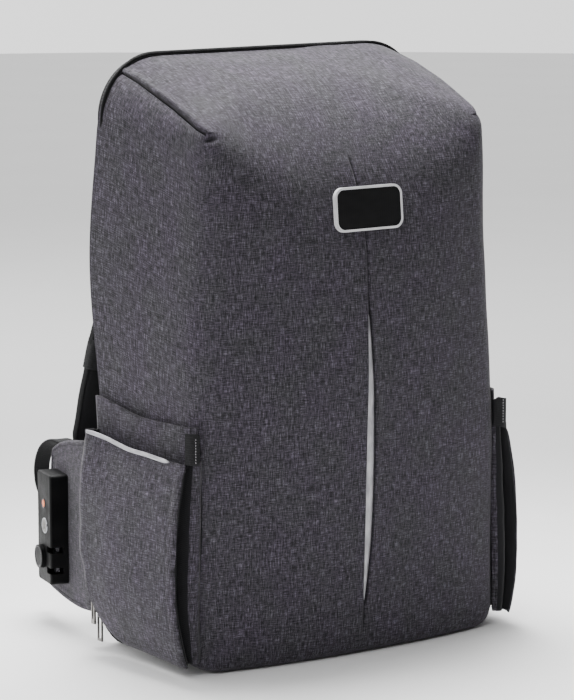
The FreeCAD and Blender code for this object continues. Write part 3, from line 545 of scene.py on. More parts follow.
def brushed(name, dark, pale, rough=0.3, way="yz", wide=6.0, tall=0.25):
    """Metal with fine drawn lines, small dents and dulled patches."""
    finish = Finish(name)
    place = finish.cloth_place(way)
    lines = finish.stretched(place, wide, tall, 3.0)
    dulled = finish.stretched(place, 4, 6, 4.0, seed=8.0)
    shade = finish.ramp(finish.weighed((lines, 0.4), (dulled, 0.6)), [(0.35, dark), (0.65, pale)])
    spread = finish.node("MapRange", {"Value": dulled, "From Min": 0.3, "From Max": 0.7,
                                      "To Min": rough - 0.08, "To Max": rough + 0.15})
    bump = finish.bump(lines, 0.03, 0.5, finish.bump(dulled, 0.12, 0.25))
    return finish.set(colour=shade, rough=spread, metal=1.0, bump=bump)


def glazed(name, dark, pale):
    """The module's window: near-black glass film over fine cell lines."""
    finish = Finish(name)
    place = finish.cloth_place("xz")
    split = finish.node("SeparateXYZ", {"Vector": place}).node
    lines = finish.maths("SINE", finish.maths("MULTIPLY", split.outputs[0], 2 * math.pi / 2.1))
    fingers = finish.maths("GREATER_THAN", lines, 0.93)
    smear = finish.stretched(place, 14, 6, 3.0)
    ground = finish.ramp(smear, [(0.35, dark), (0.65, pale)])
    shade = finish.mix(finish.maths("MULTIPLY", fingers, 0.06), ground, colour(60, 62, 72))
    spread = finish.node("MapRange", {"Value": smear, "To Min": 0.34, "To Max": 0.5})
    return finish.set(colour=shade, rough=spread, bump=finish.bump(smear, 0.05, 0.3), specular=0.2)


def floor_finish():
    finish = Finish("floor_paper")
    place = finish.cloth_place("xy")
    soft = finish.stretched(place, 180, 180, 2.0)
    shade = finish.ramp(soft, [(0.3, grey(0.93)), (0.7, grey(0.95))])
    return finish.set(colour=shade, rough=0.9, specular=0.1)


MATERIALS = {
    "melange_fabric": melange("melange_cloth"),
    "black_fabric": plain_cloth("black_nylon", colour(7, 7, 8), colour(25, 25, 28)),
    "panel_nylon": plain_cloth("back_panel_nylon", colour(9, 9, 10), colour(29, 29, 32), 1.1, "xz"),
    "lining": plain_cloth("grey_lining", colour(30, 30, 34), colour(62, 62, 70), 0.6, rough=0.7),
    "air_mesh": spacer_mesh("spacer_mesh"),
    "webbing": ribbed("black_webbing", colour(6, 6, 7), colour(29, 29, 32)),
    "binding": ribbed("grosgrain_binding", colour(5, 5, 6), colour(22, 22, 24), 0.9, 0.78),
    "reflective": retroreflective("reflective_tape"),
    "zip_teeth": moulded("zip_coil", colour(10, 10, 11), colour(34, 34, 37), 0.45, 0.4, way="xz"),
    "black_plastic": moulded("acetal_black", colour(7, 7, 8), colour(23, 23, 25), 0.42),
    "lock_plastic": moulded("lock_housing", colour(4, 4, 5), colour(12, 12, 13), 0.46, 0.35, shine=0.12),
    "light_metal": brushed("zinc_pull", colour(92, 90, 88), colour(158, 155, 152), 0.3),
    "steel": brushed("steel_parts", colour(140, 141, 145), colour(190, 191, 195), 0.28),
    "panel_frame": moulded("silver_rim", colour(196, 195, 198), colour(224, 223, 225), 0.38, 0.4, way="xz"),
    "panel_window": glazed("module_window", colour(7, 7, 8), colour(14, 14, 15)),
    "solar_cell": glazed("module_cell", colour(10, 12, 26), colour(22, 26, 46)),
    "lead_jacket": moulded("lead_jacket", colour(8, 8, 9), colour(24, 24, 26), 0.5, 0.4),
    "bank_case": moulded("bank_case", colour(32, 33, 36), colour(44, 45, 49), 0.4, 0.4, way="xz"),
    "cell_wrap": moulded("cell_wrap", colour(24, 70, 120), colour(46, 104, 160), 0.35, 0.5, way="xz"),
    "circuit_board": moulded("circuit_board", colour(12, 60, 34), colour(26, 92, 56), 0.4, 0.6, way="xz"),
    "board_sheet": moulded("board_sheet", colour(27, 27, 29), colour(37, 37, 40), 0.6, 0.8, way="xz",
                           shine=0.2),
    "amber_lens": moulded("amber_lens", colour(206, 84, 16), colour(255, 140, 40), 0.25, 0.4, 0.4),
    "thread_grey": plain_cloth("thread_grey", colour(36, 36, 40), colour(78, 77, 82), 0.4),
    "thread_pale": plain_cloth("thread_pale", colour(120, 118, 122), colour(170, 168, 172), 0.4),
    "cap_pale": moulded("button_rim", colour(24, 24, 26), colour(52, 52, 55), 0.35, 0.4),
}


def finish_frame_nodes():
    """Puts the finish of its record slot on every node that stays in view."""
    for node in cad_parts.values():
        for place in node.material_slots:
            slot = place.material.name if place.material else ""
            wanted = next((key for key in MATERIALS if slot.startswith(key)), "black_plastic")
            place.material = MATERIALS[wanted]


# ---------------------------------------------------------------- camera, light and floor

def camera():
    """The photo's view: from the object's left and a little above, through a long lens."""
    aim = Vector((0, 0, 228 * MM))
    turn, rise, distance = math.radians(35), math.radians(9.5), 2687 * MM
    away = Vector((-math.sin(turn) * math.cos(rise), -math.cos(turn) * math.cos(rise), math.sin(rise)))
    lens = bpy.data.cameras.new("camera")
    lens.lens = 174.9
    lens.shift_x = -16 / 700
    lens.shift_y = 3 / 700
    holder = bpy.data.objects.new("camera", lens)
    holder.location = aim + away * distance
    holder.rotation_euler = (-away).to_track_quat("-Z", "Y").to_euler()
    bpy.context.scene.collection.objects.link(holder)
    bpy.context.scene.camera = holder


def lamp(name, place, size, power, target=(0, 0, 0.22), spread=180):
    """A softbox at a place in metres, aimed at the target."""
    light = bpy.data.lights.new(name, "AREA")
    light.shape = "RECTANGLE"
    light.size, light.size_y = size
    light.energy = power
    light.spread = math.radians(spread)
    holder = bpy.data.objects.new(name, light)
    holder.location = place
    holder.rotation_euler = (Vector(target) - Vector(place)).to_track_quat("-Z", "Y").to_euler()
    bpy.context.scene.collection.objects.link(holder)


def lamps():
    lamp("top_softbox", (0.1, 0.25, 1.35), (0.6, 0.5), 7, (0.03, 0.0, 0.42), 70)
    lamp("rear_softbox", (0.3, 1.5, 1.5), (1.2, 0.8), 20, (0, 0, 0.35))
    lamp("left_softbox", (-1.9, 0.2, 1.1), (0.9, 1.2), 2.5)
    lamp("back_softbox", (-0.4, 2.1, 0.9), (1.4, 1.2), 6)
    lamp("key_softbox", (-1.7, -1.5, 1.7), (0.8, 0.8), 4.5, (0, 0, 0.3), 90)


def studio():
    """A white world that is brighter behind the object and to its left."""
    world = bpy.data.worlds.new("studio")
    world.use_nodes = True
    nodes, links = world.node_tree.nodes, world.node_tree.links
    way = nodes.new("ShaderNodeTexCoord")
    towards = nodes.new("ShaderNodeVectorMath")
    towards.operation = "DOT_PRODUCT"
    towards.inputs[1].default_value = (-0.38, 0.92, 0.1)
    shade = nodes.new("ShaderNodeMapRange")
    links.new(way.outputs["Generated"], towards.inputs[0])
    links.new(towards.outputs["Value"], shade.inputs["Value"])
    for key, number in (("From Min", -0.6), ("From Max", 0.7), ("To Min", 0.10), ("To Max", 1.9)):
        shade.inputs[key].default_value = number
    links.new(shade.outputs[0], nodes["Background"].inputs["Strength"])
    nodes["Background"].inputs["Color"].default_value = (1, 1, 1, 1)
    bpy.context.scene.world = world


def round_floor():
    radii, around = (0.0, 0.3, 0.7, 1.5, 3.0, 6.0), 48
    angles = [2 * math.pi * i / around for i in range(around)]
    verts = [(radius * math.cos(angle), radius * math.sin(angle), 0) for radius in radii for angle in angles]
    mesh = bpy.data.meshes.new("floor")
    mesh.from_pydata(verts, [], grid_faces(len(radii), around, closed=True))
    mesh.materials.append(floor_finish())
    floor = bpy.data.objects.new("floor", mesh)
    bpy.context.scene.collection.objects.link(floor)


# ---------------------------------------------------------------- the fabric case

def swell(x, z):
    """How far the soft sides stand out beyond the rear rim at each height; the hinge side stays flatter."""
    return np.where(x < 0, 9.5, 3.0) * hump(308, 92, z)


def body_field(places, inset=0.0):
    """Signed distance, near enough, to the fabric case's outer face: under 0 inside."""
    x, y, z = places[..., 0], places[..., 1], places[..., 2]
    v = np.clip((REAR - y) / DEPTH, 0, 1.25)
    w = np.clip(z / HEIGHT, 0, 1)
    half = HALF - (HALF - FRONT_HALF_LOW) * v - (FRONT_HALF_LOW - FRONT_HALF_TOP) * v * smooth(0.15, 1, w)
    half = half + swell(x, z) * np.cos(0.5 * math.pi * np.clip(v, 0, 1)) ** 0.8
    u = np.clip(np.abs(x) / half, 0, 1)
    side = np.abs(x) - half
    crown = np.where(w < 0.5, np.sin(math.pi * (0.13 + 0.74 * w)), np.sin(math.pi * w)) ** 0.6
    front = FRONT - BULGE * (1 - u ** 2.4) * crown - y
    top = (z - (HEIGHT - TOP_DROP * v ** 1.15)) * 0.92
    bottom = REAR_RISE * smooth(-45, REAR, y) * smooth(70, 150, np.abs(x)) - z
    nearer_side = smooth(-20, 20, side - front)
    blend_side = CORNER_TOP - 46 * np.clip(v, 0, 1)
    blend_front = 12 + 78 * (1 - u ** 2)
    blend_top = blend_side * nearer_side + blend_front * (1 - nearer_side)
    field = blend_max(side, front, 16)
    field = blend_max(field, top, blend_top)
    blend_low = 12 + (CORNER_LOW - 12) * nearer_side
    return blend_max(field, bottom, blend_low) + inset


def to_surface(anchors, ahead, inset=0.0):
    """Where rays from inside the case leave it."""
    low = np.zeros(anchors.shape[:-1])
    high = np.full(anchors.shape[:-1], 260.0)
    for _ in range(26):
        middle = (low + high) / 2
        outside = body_field(anchors + ahead * middle[..., None], inset) > 0
        high = np.where(outside, middle, high)
        low = np.where(outside, low, middle)
    return anchors + ahead * low[..., None]


DART_X, DART_Z = 132.7, 453.0           # where each top dart starts, at the rear rim


def dart_line(y):
    """X (to the right) and Z of the dart that runs along each top corner, from the rear rim forwards."""
    t = np.clip((REAR - y) / (REAR + 60), 0, 1)
    return DART_X - 6.7 * t, DART_Z - 42 * t


def slit_half(z):
    """Half width of the open slit in the front's centre seam."""
    t = np.clip((z - SLIT_LOW) / (SLIT_HIGH - SLIT_LOW), 0, 1)
    return 3.5 * np.sin(math.pi * t ** 0.85) ** 0.8 * (t > 0) * (t < 1)


def slit_bow(z):
    return 1.6 * np.sin(math.pi * np.clip((z - SLIT_LOW) / (SLIT_HIGH - SLIT_LOW), 0, 1))


REACH = 25.0                            # the cage that rays aim at stands this far outside the darts
SINK = 46.0                             # and the rays start this far inside them
LEAN = np.array([0.6, 0.8])
CAGE_HALF = DART_X + REACH * LEAN[0]
CAGE_TALL = DART_Z + REACH * LEAN[1]
CAGE_DEEP = REAR + 75


def case_rays(across, back, up):
    """Start and direction of the ray for each place on the cage.

    across is -1..1 over the width, back 0..1 from the rim to the front, up 0..1 from base to top.
    """
    y = REAR - back * CAGE_DEEP
    dart_x, dart_z = dart_line(np.maximum(y, -60))
    cage_x, cage_z = dart_x + REACH * LEAN[0], dart_z + REACH * LEAN[1]
    core_x, core_z = dart_x - SINK * LEAN[0], dart_z - SINK * LEAN[1]
    x = across * cage_x
    z = up * cage_z
    z_shown = np.clip(z, 0, HEIGHT)
    near = np.exp(-np.abs(x) / 22) * (np.abs(x) > 0.1)
    x = x + np.sign(x) * slit_half(z_shown) * near * (back > 0.5) + slit_bow(z_shown) * near * (back > 0.5)
    aim = np.stack([x, y, z], -1)
    start = np.stack([np.clip(x, -core_x, core_x), np.maximum(y, -14), np.clip(z, 45, core_z)], -1)
    return start, unit(aim - start)


def spread(low, high, step, fine_ends=(), fine=(0.0, 1.2, 2.6, 4.2, 6.4, 9.0)):
    """Places from low to high, closer together near the ends named."""
    places = list(np.arange(low, high, step)) + [high]
    for end in fine_ends:
        places = [p for p in places if abs(p - end) > fine[-1] + step * 0.4 or p == end]
        inward = 1 if end < (low + high) / 2 else -1
        places += [end + inward * f for f in fine]
    return np.unique(np.round(places, 4))


def case_columns():
    right = spread(0, CAGE_HALF, 3.6, (0, CAGE_HALF), (0.0, 0.45, 0.9, 1.5, 2.4, 3.6, 5.2, 7.4, 10.0))
    return np.concatenate([-right[:0:-1], right]) / CAGE_HALF


def dart_depth(y):
    """How strongly the dart is drawn at each Y: from the rim to its end near the front."""
    return smooth(-66, -54, y)


def crumple(places):
    """Gentle unevenness of the stuffed fabric."""
    broad = ripple(places, 95, 2.0) * 2.2
    fine = ripple(places * np.array([1, 1, 0.6]), 26, 5.0) * 0.55
    return broad + fine


def case_skin(inset=0.0, detail=True):
    """The case's five faces as grids of vertices with their places on the cloth and their painted crease
    shade.
    """
    columns, rows = case_columns(), spread(0, CAGE_TALL, 3.7, (0, CAGE_TALL)) / CAGE_TALL
    depths = spread(0, CAGE_DEEP, 3.6, (CAGE_DEEP,)) / CAGE_DEEP
    faces_of_case = {
        "front": np.meshgrid(columns, 1.0, rows, indexing="ij"),
        "left": np.meshgrid(-1.0, depths, rows, indexing="ij"),
        "right": np.meshgrid(1.0, depths, rows, indexing="ij"),
        "top": np.meshgrid(columns, depths, 1.0, indexing="ij"),
        "bottom": np.meshgrid(columns, depths, 0.0, indexing="ij"),
    }
    skins = []
    for name, (across, back, up) in faces_of_case.items():
        across, back, up = (np.squeeze(a) for a in (across, back, up))
        start, ahead = case_rays(across, back, up)
        skin = to_surface(start, ahead, inset)
        x, y, z = skin[..., 0], skin[..., 1], skin[..., 2]
        box_x, box_y, box_z = across * CAGE_HALF, back * CAGE_DEEP, up * CAGE_TALL
        dark = np.zeros_like(x)
        push = np.zeros_like(x)
        if detail:
            push = crumple(skin) * smooth(REAR, REAR - 25, y) * smooth(0, 30, z)
            if name in ("top", "left", "right"):
                off = CAGE_HALF - np.abs(box_x) if name == "top" else CAGE_TALL - box_z
                strong = dart_depth(y)
                groove = hump(0, 0.9 + 0.9 * hump(-28, 40, y), off) * strong
                middle = hump(0, 38, y + 2)
                roll = hump(5.5, 4.0, off) * strong * (1.0 + 1.6 * middle) if name == "top" else 0.0
                tuck = hump(4, 5, off) * strong * 0.8 if name != "top" else 0.0
                push = push - 3.8 * groove + roll - tuck
                # painted shade along the dart's groove
                dark = np.maximum(dark, groove * 0.95)
            if name in ("front", "top", "bottom"):
                off = np.abs(box_x)
                open_here = (slit_half(z) > 0.05) & (name == "front")
                seam = smooth(12, 34, z) * smooth(392, 384, z) * (name == "front") * ~open_here
                push = push - seam * 1.5 * hump(0, 0.8, off) + seam * 0.5 * hump(3.4, 2.2, off)
                # painted shade in the centre seam's groove
                dark = np.maximum(dark, seam * hump(0, 0.7, off) * 0.75)
                inside = np.interp(off, [0, 0.45, 0.9, 1.5, 2.4], [4.2, 4.0, 1.7, 0.3, 0.0])
                lip = 0.9 * hump(3.2, 2.2, off)
                wide = smooth(0, 1.2, slit_half(z))
                push = push + open_here * (lip - inside * wide - 1.4 * (1 - wide) * hump(0, 0.8, off))
                # painted shade on the open slit's sunken floor
                dark = np.maximum(dark, open_here * np.interp(off, [0, 0.9, 1.5], [0.9, 0.6, 0.0]))
            # A dimple at the dart's end on the left side, with painted shade in it; the right side is left
            # plain.
            for side in (-1, 1):
                notch = np.array([side * 127.0, -60.5, 410.0])
                reach = np.linalg.norm((skin - notch) * np.array([0.6, 1, 1.5]), axis=-1)
                push = push - 3.0 * hump(0, 3.4, reach) * (side < 0)
                dark = np.maximum(dark, hump(0, 2.7, reach) * (side < 0))
        skin = skin + ahead * push[..., None]
        if detail and name in ("left", "top"):
            away = smooth(60, 20, box_x) if name == "top" else 1.0
            lap = (4.5 + 3.0 * hump(300, 110, z)) * smooth(40, 90, z) * away
            skin[..., 1] += lap * smooth(REAR - 22, REAR, y)
        if name == "front":
            cloth = np.stack([box_x, box_z], -1)
        elif name in ("left", "right"):
            cloth = np.stack([np.sign(across) * (CAGE_HALF + CAGE_DEEP - box_y), box_z], -1)
        elif name == "top":
            cloth = np.stack([box_x, CAGE_TALL + CAGE_DEEP - box_y], -1)
        else:
            cloth = np.stack([box_x, box_y - CAGE_DEEP], -1)
        skins.append((name, skin, cloth, dark))
    return skins


def fabric_case():
    """The melange case with its darts, centre seam and slit, and the lining inside it."""
    for label, inset, detail in (("case_fabric", 0.0, True), ("case_lining", 3.6, False)):
        parts, darks = [], []
        for name, skin, cloth, dark in case_skin(inset, detail):
            quads = grid_faces(*skin.shape[:2], flip=(name in ("front", "left", "bottom")) != detail)
            parts.append((skin.reshape(-1, 3), quads, cloth.reshape(-1, 2)))
            darks.append(dark.reshape(-1))
        verts, faces, uv = join(parts)
        slot = "melange_fabric" if detail else "lining"
        piece = make_piece(label, verts, faces, "front_body", [slot], uv)
        # paints shade into the case's grooves; the lining's stays at none
        darken(piece, np.concatenate(darks))
        weld(piece, 0.02)
        if detail:
            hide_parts("front_shell")


def darken(piece, values=None):
    """Stores the painted shade in a melange piece's creases at each vertex: none, unless values are given."""
    layer = piece.data.attributes.new("crease", "FLOAT", "POINT")
    layer.data.foreach_set("value", [0.0] * len(piece.data.vertices) if values is None else values)


def weld(piece, reach):
    """Joins vertices that lie together where the grids of a piece meet, and drops faces without area."""
    work = bmesh.new()
    work.from_mesh(piece.data)
    bmesh.ops.remove_doubles(work, verts=work.verts, dist=reach * MM)
    bmesh.ops.dissolve_degenerate(work, edges=work.edges, dist=0.001 * MM)
    work.to_mesh(piece.data)
    work.free()


def front_at(x, z, lift=0.0):
    """Place on the front for each X and Z, lift millimetres proud of the fabric."""
    x, z = np.broadcast_arrays(np.asarray(x, float), np.asarray(z, float))
    start = np.stack([x, np.full_like(x, -14), z], -1)
    ahead = np.broadcast_to(np.array([0.0, -1.0, 0.0]), start.shape)
    skin = to_surface(start, ahead)
    return skin + np.array([0, -1, 0]) * (lift + crumple(skin)[..., None])


def slit_reflector():
    """The pale reflective tape behind the slit, proud of the slit's floor and under its rolled edges."""
    rows = np.linspace(SLIT_LOW + 1, SLIT_HIGH - 1, 90)
    cols = np.linspace(-1, 1, 9)
    x = slit_bow(rows)[:, None] + cols[None] * (slit_half(rows)[:, None] + 0.5)
    grid = front_at(x, rows[:, None], -2.3 + 0.5 * (1 - cols[None, :, None] ** 2))
    piece = sheet_piece("slit_reflector", grid, 0.5, cloth_grid(x, rows[:, None]), "front_body",
                        ["reflective"])
    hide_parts("front_reflector")


RIM_TOP_RADIUS, RIM_LOW_RADIUS = 48, 25
FRONT_BINDING_Y, BACK_BINDING_Y = 54.6, 62.4
FRONT_COIL_Y, BACK_COIL_Y = 56.2, 57.6
HEM_Y = 54.2
TUCK = 6.0                              # how much narrower the back panel is on the side that opens


def rim_path(depth, out=0.0, count=360):
    """The rounded outline of the rear rim at a Y, out millimetres beyond it, with its outward directions."""
    half, tall = HALF + out, HEIGHT + out
    top_r, low_r = RIM_TOP_RADIUS + out, RIM_LOW_RADIUS + out
    centres = [(half - top_r, tall - top_r, top_r, 0), (-(half - top_r), tall - top_r, top_r, 90),
               (-(half - low_r), low_r - out, low_r, 180), (half - low_r, low_r - out, low_r, 270)]
    loop = []
    for x, z, radius, start in centres:
        for angle in np.radians(np.linspace(start, start + 90, 14)):
            loop.append((x + radius * math.cos(angle), depth, z + radius * math.sin(angle)))
    path = evenly(np.array(loop + loop[:1]), count, endpoint=False)
    return path, np.cross(tangents(path, closed=True), BACKWARDS)


def tucked(path):
    """The back panel's edge stands a little inside the front's on the side that opens."""
    path = path.copy()
    path[..., 0] *= np.where(path[..., 0] < 0, 1 - TUCK / HALF, 1.0)
    return path


def zip_and_binding():
    """Grosgrain bindings on both rims, and the coil zip's teeth between the two tapes."""
    for label, depth, body, size, lift in (
            ("front_binding", FRONT_BINDING_Y, "front_body", (2.4, 3.6), 0.2),
            ("back_binding", BACK_BINDING_Y, "back_panel", (2.6, 3.6), 0.0)):
        path, out = rim_path(depth, lift)
        if body == "back_panel":
            away_from_hinge = np.roll(np.arange(len(path)), -np.argmax(path[:, 0] > HINGE_X - 1))
            keep = [i for i in away_from_hinge if path[i, 0] < HINGE_X - 1.5]
            path, out = tucked(path[keep]), out[keep]
        sweep_piece(label, path, oval(*size, 2.6, 14), out, body, "binding",
                    body == "front_body")
    hem = np.array([rim_path(HEM_Y, out_by)[0] for out_by in (-9.0, -6.0, -3.0, -0.4)])
    deeper = rim_path(HEM_Y, -20.0)[0]
    hem[0] += (deeper - hem[0]) * (1 - smooth(26, 60, hem[0][:, 2]))[:, None]
    hem = np.concatenate([hem, hem[:, :1]], 1)
    sheet_piece("case_hem", hem, 1.0, hem[..., [0, 2]], "front_body", ["black_fabric"])
    tooth = oval(1.5, 2.2, 2.5, 8)
    for label, depth, body, shift in (("zip_coil_front", FRONT_COIL_Y, "front_body", 0.0),
                                      ("zip_coil_back", BACK_COIL_Y, "back_panel", 0.5)):
        path, out = rim_path(depth, -0.4, 1160)
        ahead = tangents(path, closed=True)
        parts = []
        for i in range(0, len(path), 2):
            on_hinge_side = path[i, 0] > (HINGE_X - 1.5 if body == "back_panel" else HALF - 30)
            if on_hinge_side and (body == "back_panel" or HINGE_LOW < path[i, 2] < HINGE_HIGH):
                continue
            start = path[i] + ahead[i] * shift * 1.25
            short = np.array([start - [0, 0.9, 0], start, start + [0, 0.9, 0]])
            parts.append(sweep(short, tooth, out[i], scale=[(0.8, 0.8), (1, 1), (0.8, 0.8)]))
        verts, faces, uv = join(parts)
        piece = make_piece(label, verts, faces, body, ["zip_teeth"], uv)
        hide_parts("zip_teeth_front" if body == "front_body" else "zip_teeth_back")


# ---------------------------------------------------------------- side pockets

def side_face(side, y, z, lift=0.0):
    """Place on the case's side for each Y and Z, lift millimetres proud."""
    y, z = np.broadcast_arrays(np.asarray(y, float), np.asarray(z, float))
    start = np.stack([np.zeros_like(y), y, z], -1)
    skin = to_surface(start, np.broadcast_to(np.array([side, 0.0, 0.0]), start.shape))
    skin[..., 0] += side * lift
    return skin


POCKET_BELLY = np.array([(154, 4), (160.5, 16), (168, 50), (169.5, 80), (167, 124), (160, 166), (159, 176)])
POCKET_FRONT = -71.0
POCKET_REAR = 59.0
SIDE_WORD = {-1: "left", 1: "right"}

FABRIC_AND_LINING = ["melange_fabric", "black_fabric"]


def pocket_base(y):
    """How low the outer panel reaches at each Y: it sweeps up in a curve at the rear."""
    back = np.clip(y / 60, 0, 1)
    return 10 + 3.5 * (y - POCKET_FRONT) / 130 + 50 * back ** 3.2


def pocket_top(y):
    """Height of the outer panel's top edge."""
    t = np.clip((y - POCKET_FRONT) / (POCKET_REAR - POCKET_FRONT), 0, 1)
    return 167.5 + 1.5 * smooth(0.1, 0.5, t) + 6.5 * smooth(0.45, 1.0, t)


def belly(side, y, z, swell_out=1.0):
    """Distance of the outer panel from the middle plane; the right pocket lies flatter than the left."""
    curve = along_curve(POCKET_BELLY, 60)
    out = np.interp(z, curve[:, 1], curve[:, 0])
    t = (y - POCKET_FRONT) / (POCKET_REAR - POCKET_FRONT)
    rounded = np.sin(math.pi * np.clip(t, 0, 1)) * np.sin(math.pi * np.clip(z / 176, 0, 1))
    out = out + 4.0 * rounded * swell_out
    flare = np.interp(z, [20, 45, 75, 110, 172], [0.0, 6.0, 6.5, 6.5, 8.5]) * (side < 0)
    flatter = np.interp(z, [0, 60, 166], [2.0, 5.5, 9.0]) * (1 - 0.5 * t) * (side > 0)
    return out - flatter + flare * np.clip(t, 0, 1) ** 2.2


def drawn_forward(side, y, z):
    """How far a pocket's rear edge is drawn forward, out of the way of the pulls and the opening panel."""
    if side > 0:
        return 11.0 * smooth(20, 59, y)
    low = 3.6 * (1 - smooth(104, 122, z)) + 5.4 * (1 - smooth(66, 82, z))
    return low * smooth(36, 57, y)


def pocket_panel(side, word):
    """The low outer panel with its hem, its front seam and its turned rear edge."""
    s = np.append(np.linspace(0, 1, 54), [1.01, 1.02, 1.03, 1.04])
    t = np.linspace(0, 1, 62)
    y = POCKET_FRONT + (POCKET_REAR - POCKET_FRONT) * np.minimum(s, 1)[None, :] + 0 * t[:, None]
    z = pocket_base(y) + (pocket_top(y) - pocket_base(y)) * t[:, None]
    x = belly(side, y, z)
    edge = hump(0, 2.2, y - POCKET_FRONT) + hump(0, 3.0, POCKET_REAR - y)
    hem = 0.8 * hump(4.5, 2.0, pocket_top(y) - z)
    seam = 0.9 * hump(0, 1.2, y - POCKET_FRONT - 11) * smooth(20, 50, z)
    grid = np.stack([x, y, z], -1)
    grid[..., 0] += 1.5 * ripple(grid, 42, 9.0 + side) + 0.5 * ripple(grid, 15, 3.0) - 1.6 * edge - hem - seam
    grid[..., 1] -= drawn_forward(side, y, z)
    turned = np.clip(s - 1, 0, 0.04)[None, :]
    turns = [0, 0.01, 0.02, 0.03, 0.04]
    grid[..., 0] = (grid[..., 0] - np.interp(turned, turns, [0, 0.9, 2.6, 5.0, 8.0])) * side
    grid[..., 1] += np.interp(turned, turns, [0, 0.8, 1.1, 0.9, 0.2])
    flat = np.stack([y + 220 * np.maximum(s - 1, 0)[None, :], z], -1)
    panel = sheet_piece(f"{word}_pocket_panel", oriented(grid, side), 1.6, flipped(flat, side), "front_body",
                        FABRIC_AND_LINING)
    darken(panel)
    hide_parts(f"{word}_pocket_outer")


def pocket_back(side, word):
    """The taller panel behind the outer one."""
    s, t = np.linspace(0, 1, 54), np.linspace(0, 1, 62)
    rear_y = 57.0 if side < 0 else 44.0
    y = POCKET_FRONT + 7 + (rear_y - POCKET_FRONT - 7) * s[None, :] + 0 * t[:, None]
    top = 193 + 9.0 * smooth(0.35, 1.0, s)[None, :] ** 1.4
    z = 14 + (top - 14) * t[:, None]
    inner = side_face(side, np.clip(y, -60, REAR), z, 5.0)
    inner[..., 1] = y
    inner[..., 0] += side * 1.2 * np.sin(math.pi * s)[None, :] * t[:, None] ** 3
    inner[..., 0] += side * 0.9 * ripple(inner, 30, 4.0 + side)
    inner[..., 0] -= side * 4.0 * (1 - smooth(0, 0.05, s))[None, :]
    uv = np.stack([y, z], -1)
    panel = sheet_piece(f"{word}_pocket_back", oriented(inner, side), 1.5, flipped(uv, side), "front_body",
                        FABRIC_AND_LINING)
    darken(panel)
    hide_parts(f"{word}_pocket_inner")


def pocket_gusset(side, word):
    """A dark fold between the outer panel's front edge and the case, and the seam that joins them."""
    t = np.linspace(0, 1, 60)
    z = 12 + (pocket_top(POCKET_FRONT) - 12) * t
    outer_x = belly(side, np.full_like(z, POCKET_FRONT), z, 0) - 2.2
    case_x = np.interp(z, [0, 15, 60, 120, 200], [146, 143.2, 143, 140.8, 140.4])
    sections = np.array([0.0, 0.10, 0.25, 0.42, 0.55, 0.68, 0.80, 0.90, 1.0])
    drawn_in = np.interp(sections, [0, 0.25, 0.42, 0.55, 0.8, 1.0], [0.5, -1.2, 1.0, 13.0, 9.0, 0.0])
    sag = 0.35 + 0.65 * np.sin(math.pi * np.clip(t * 0.96, 0, 1)) ** 0.5
    grid = np.zeros((len(t), len(sections), 3))
    grid[..., 0] = side * (case_x[:, None] + (outer_x - case_x)[:, None] * sections[None])
    grid[..., 0] -= side * 1.6 * (sections == 0)[None]
    grid[..., 1] = -66.5 - 4.0 * sections[None] + drawn_in[None] * sag[:, None] + 2.4 * (sections == 0)[None]
    grid[..., 2] = z[:, None]
    grid[..., 1] += 0.8 * ripple(grid, 22, 6.0)
    uv = cloth_grid(sections[None] * 28, z[:, None])
    fold = sheet_piece(f"{word}_pocket_gusset_cloth", oriented(grid, -side), 1.0, flipped(uv, -side),
                       "front_body", FABRIC_AND_LINING)
    # The fold's outer part takes the black lining, partly as the cloth's own colour and partly as painted
    # shade deep in the fold; on the right the whole fold is black, so the melange strip by the case there is
    # painted shade.
    share = 0.42 if side < 0 else 0.0   # of the fold, next to the case, that is melange
    for face in fold.data.polygons:
        middle = face.center / MM
        near = np.interp(middle.z, z, case_x)
        part = (abs(middle.x) - near) / (np.interp(middle.z, z, outer_x) - near)
        face.material_index = 0 if part < share else 1
    darken(fold)
    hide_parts(f"{word}_pocket_gusset")
    seam_path = front_at(side * (case_x - 1.4), z, 0.1)
    sweep_piece(f"{word}_pocket_seam", seam_path, oval(1.1, 1.0, 2, 8), np.array([0, -1.0, 0]), "front_body",
                "binding")


def pocket_rear_wall(side, word):
    """The upper rear wall, from the outer panel's rear edge in to the rim."""
    z = 116 + (pocket_top(POCKET_REAR) - 116) * np.linspace(0, 1, 40)
    across = np.linspace(0, 1, 8)
    rim_x = 151.0
    edge_x = belly(side, np.full_like(z, POCKET_REAR), z)[:, None] - 2.0
    grid = np.zeros((len(z), len(across), 3))
    grid[..., 0] = side * (rim_x + (edge_x - rim_x) * across[None])
    grid[..., 1] = 54.0 + (POCKET_REAR - 54.6) * across[None] - 2.0 * np.sin(math.pi * across)[None]
    grid[..., 2] = z[:, None]
    uv = cloth_grid(across[None] * 20, z[:, None])
    sheet_piece(f"{word}_pocket_rear_wall", oriented(grid, side), 1.0, flipped(uv, side), "front_body",
                ["black_fabric"])


def pocket_piping(side, word):
    """Reflective piping along the outer panel's top, with a slanting cut end."""
    y = np.linspace(POCKET_REAR - 6, -54, 60)
    top_z = pocket_top(y) + 0.2
    rail = np.stack([side * (belly(side, y, top_z) + 1.0), y - drawn_forward(side, y, top_z), top_z - 0.4], 1)
    rail[:, 0] += side * 1.5 * ripple(rail, 42, 9.0 + side)
    wide = np.interp(np.arange(60), [0, 3, 56, 59], [0.7, 1.0, 1.0, 0.25])
    sweep_piece(f"{word}_pocket_piping", rail, oval(2.0, 3.4, 3.0, 12), UPWARDS, "front_body",
                "reflective", scale=np.stack([np.ones(60), wide], 1))


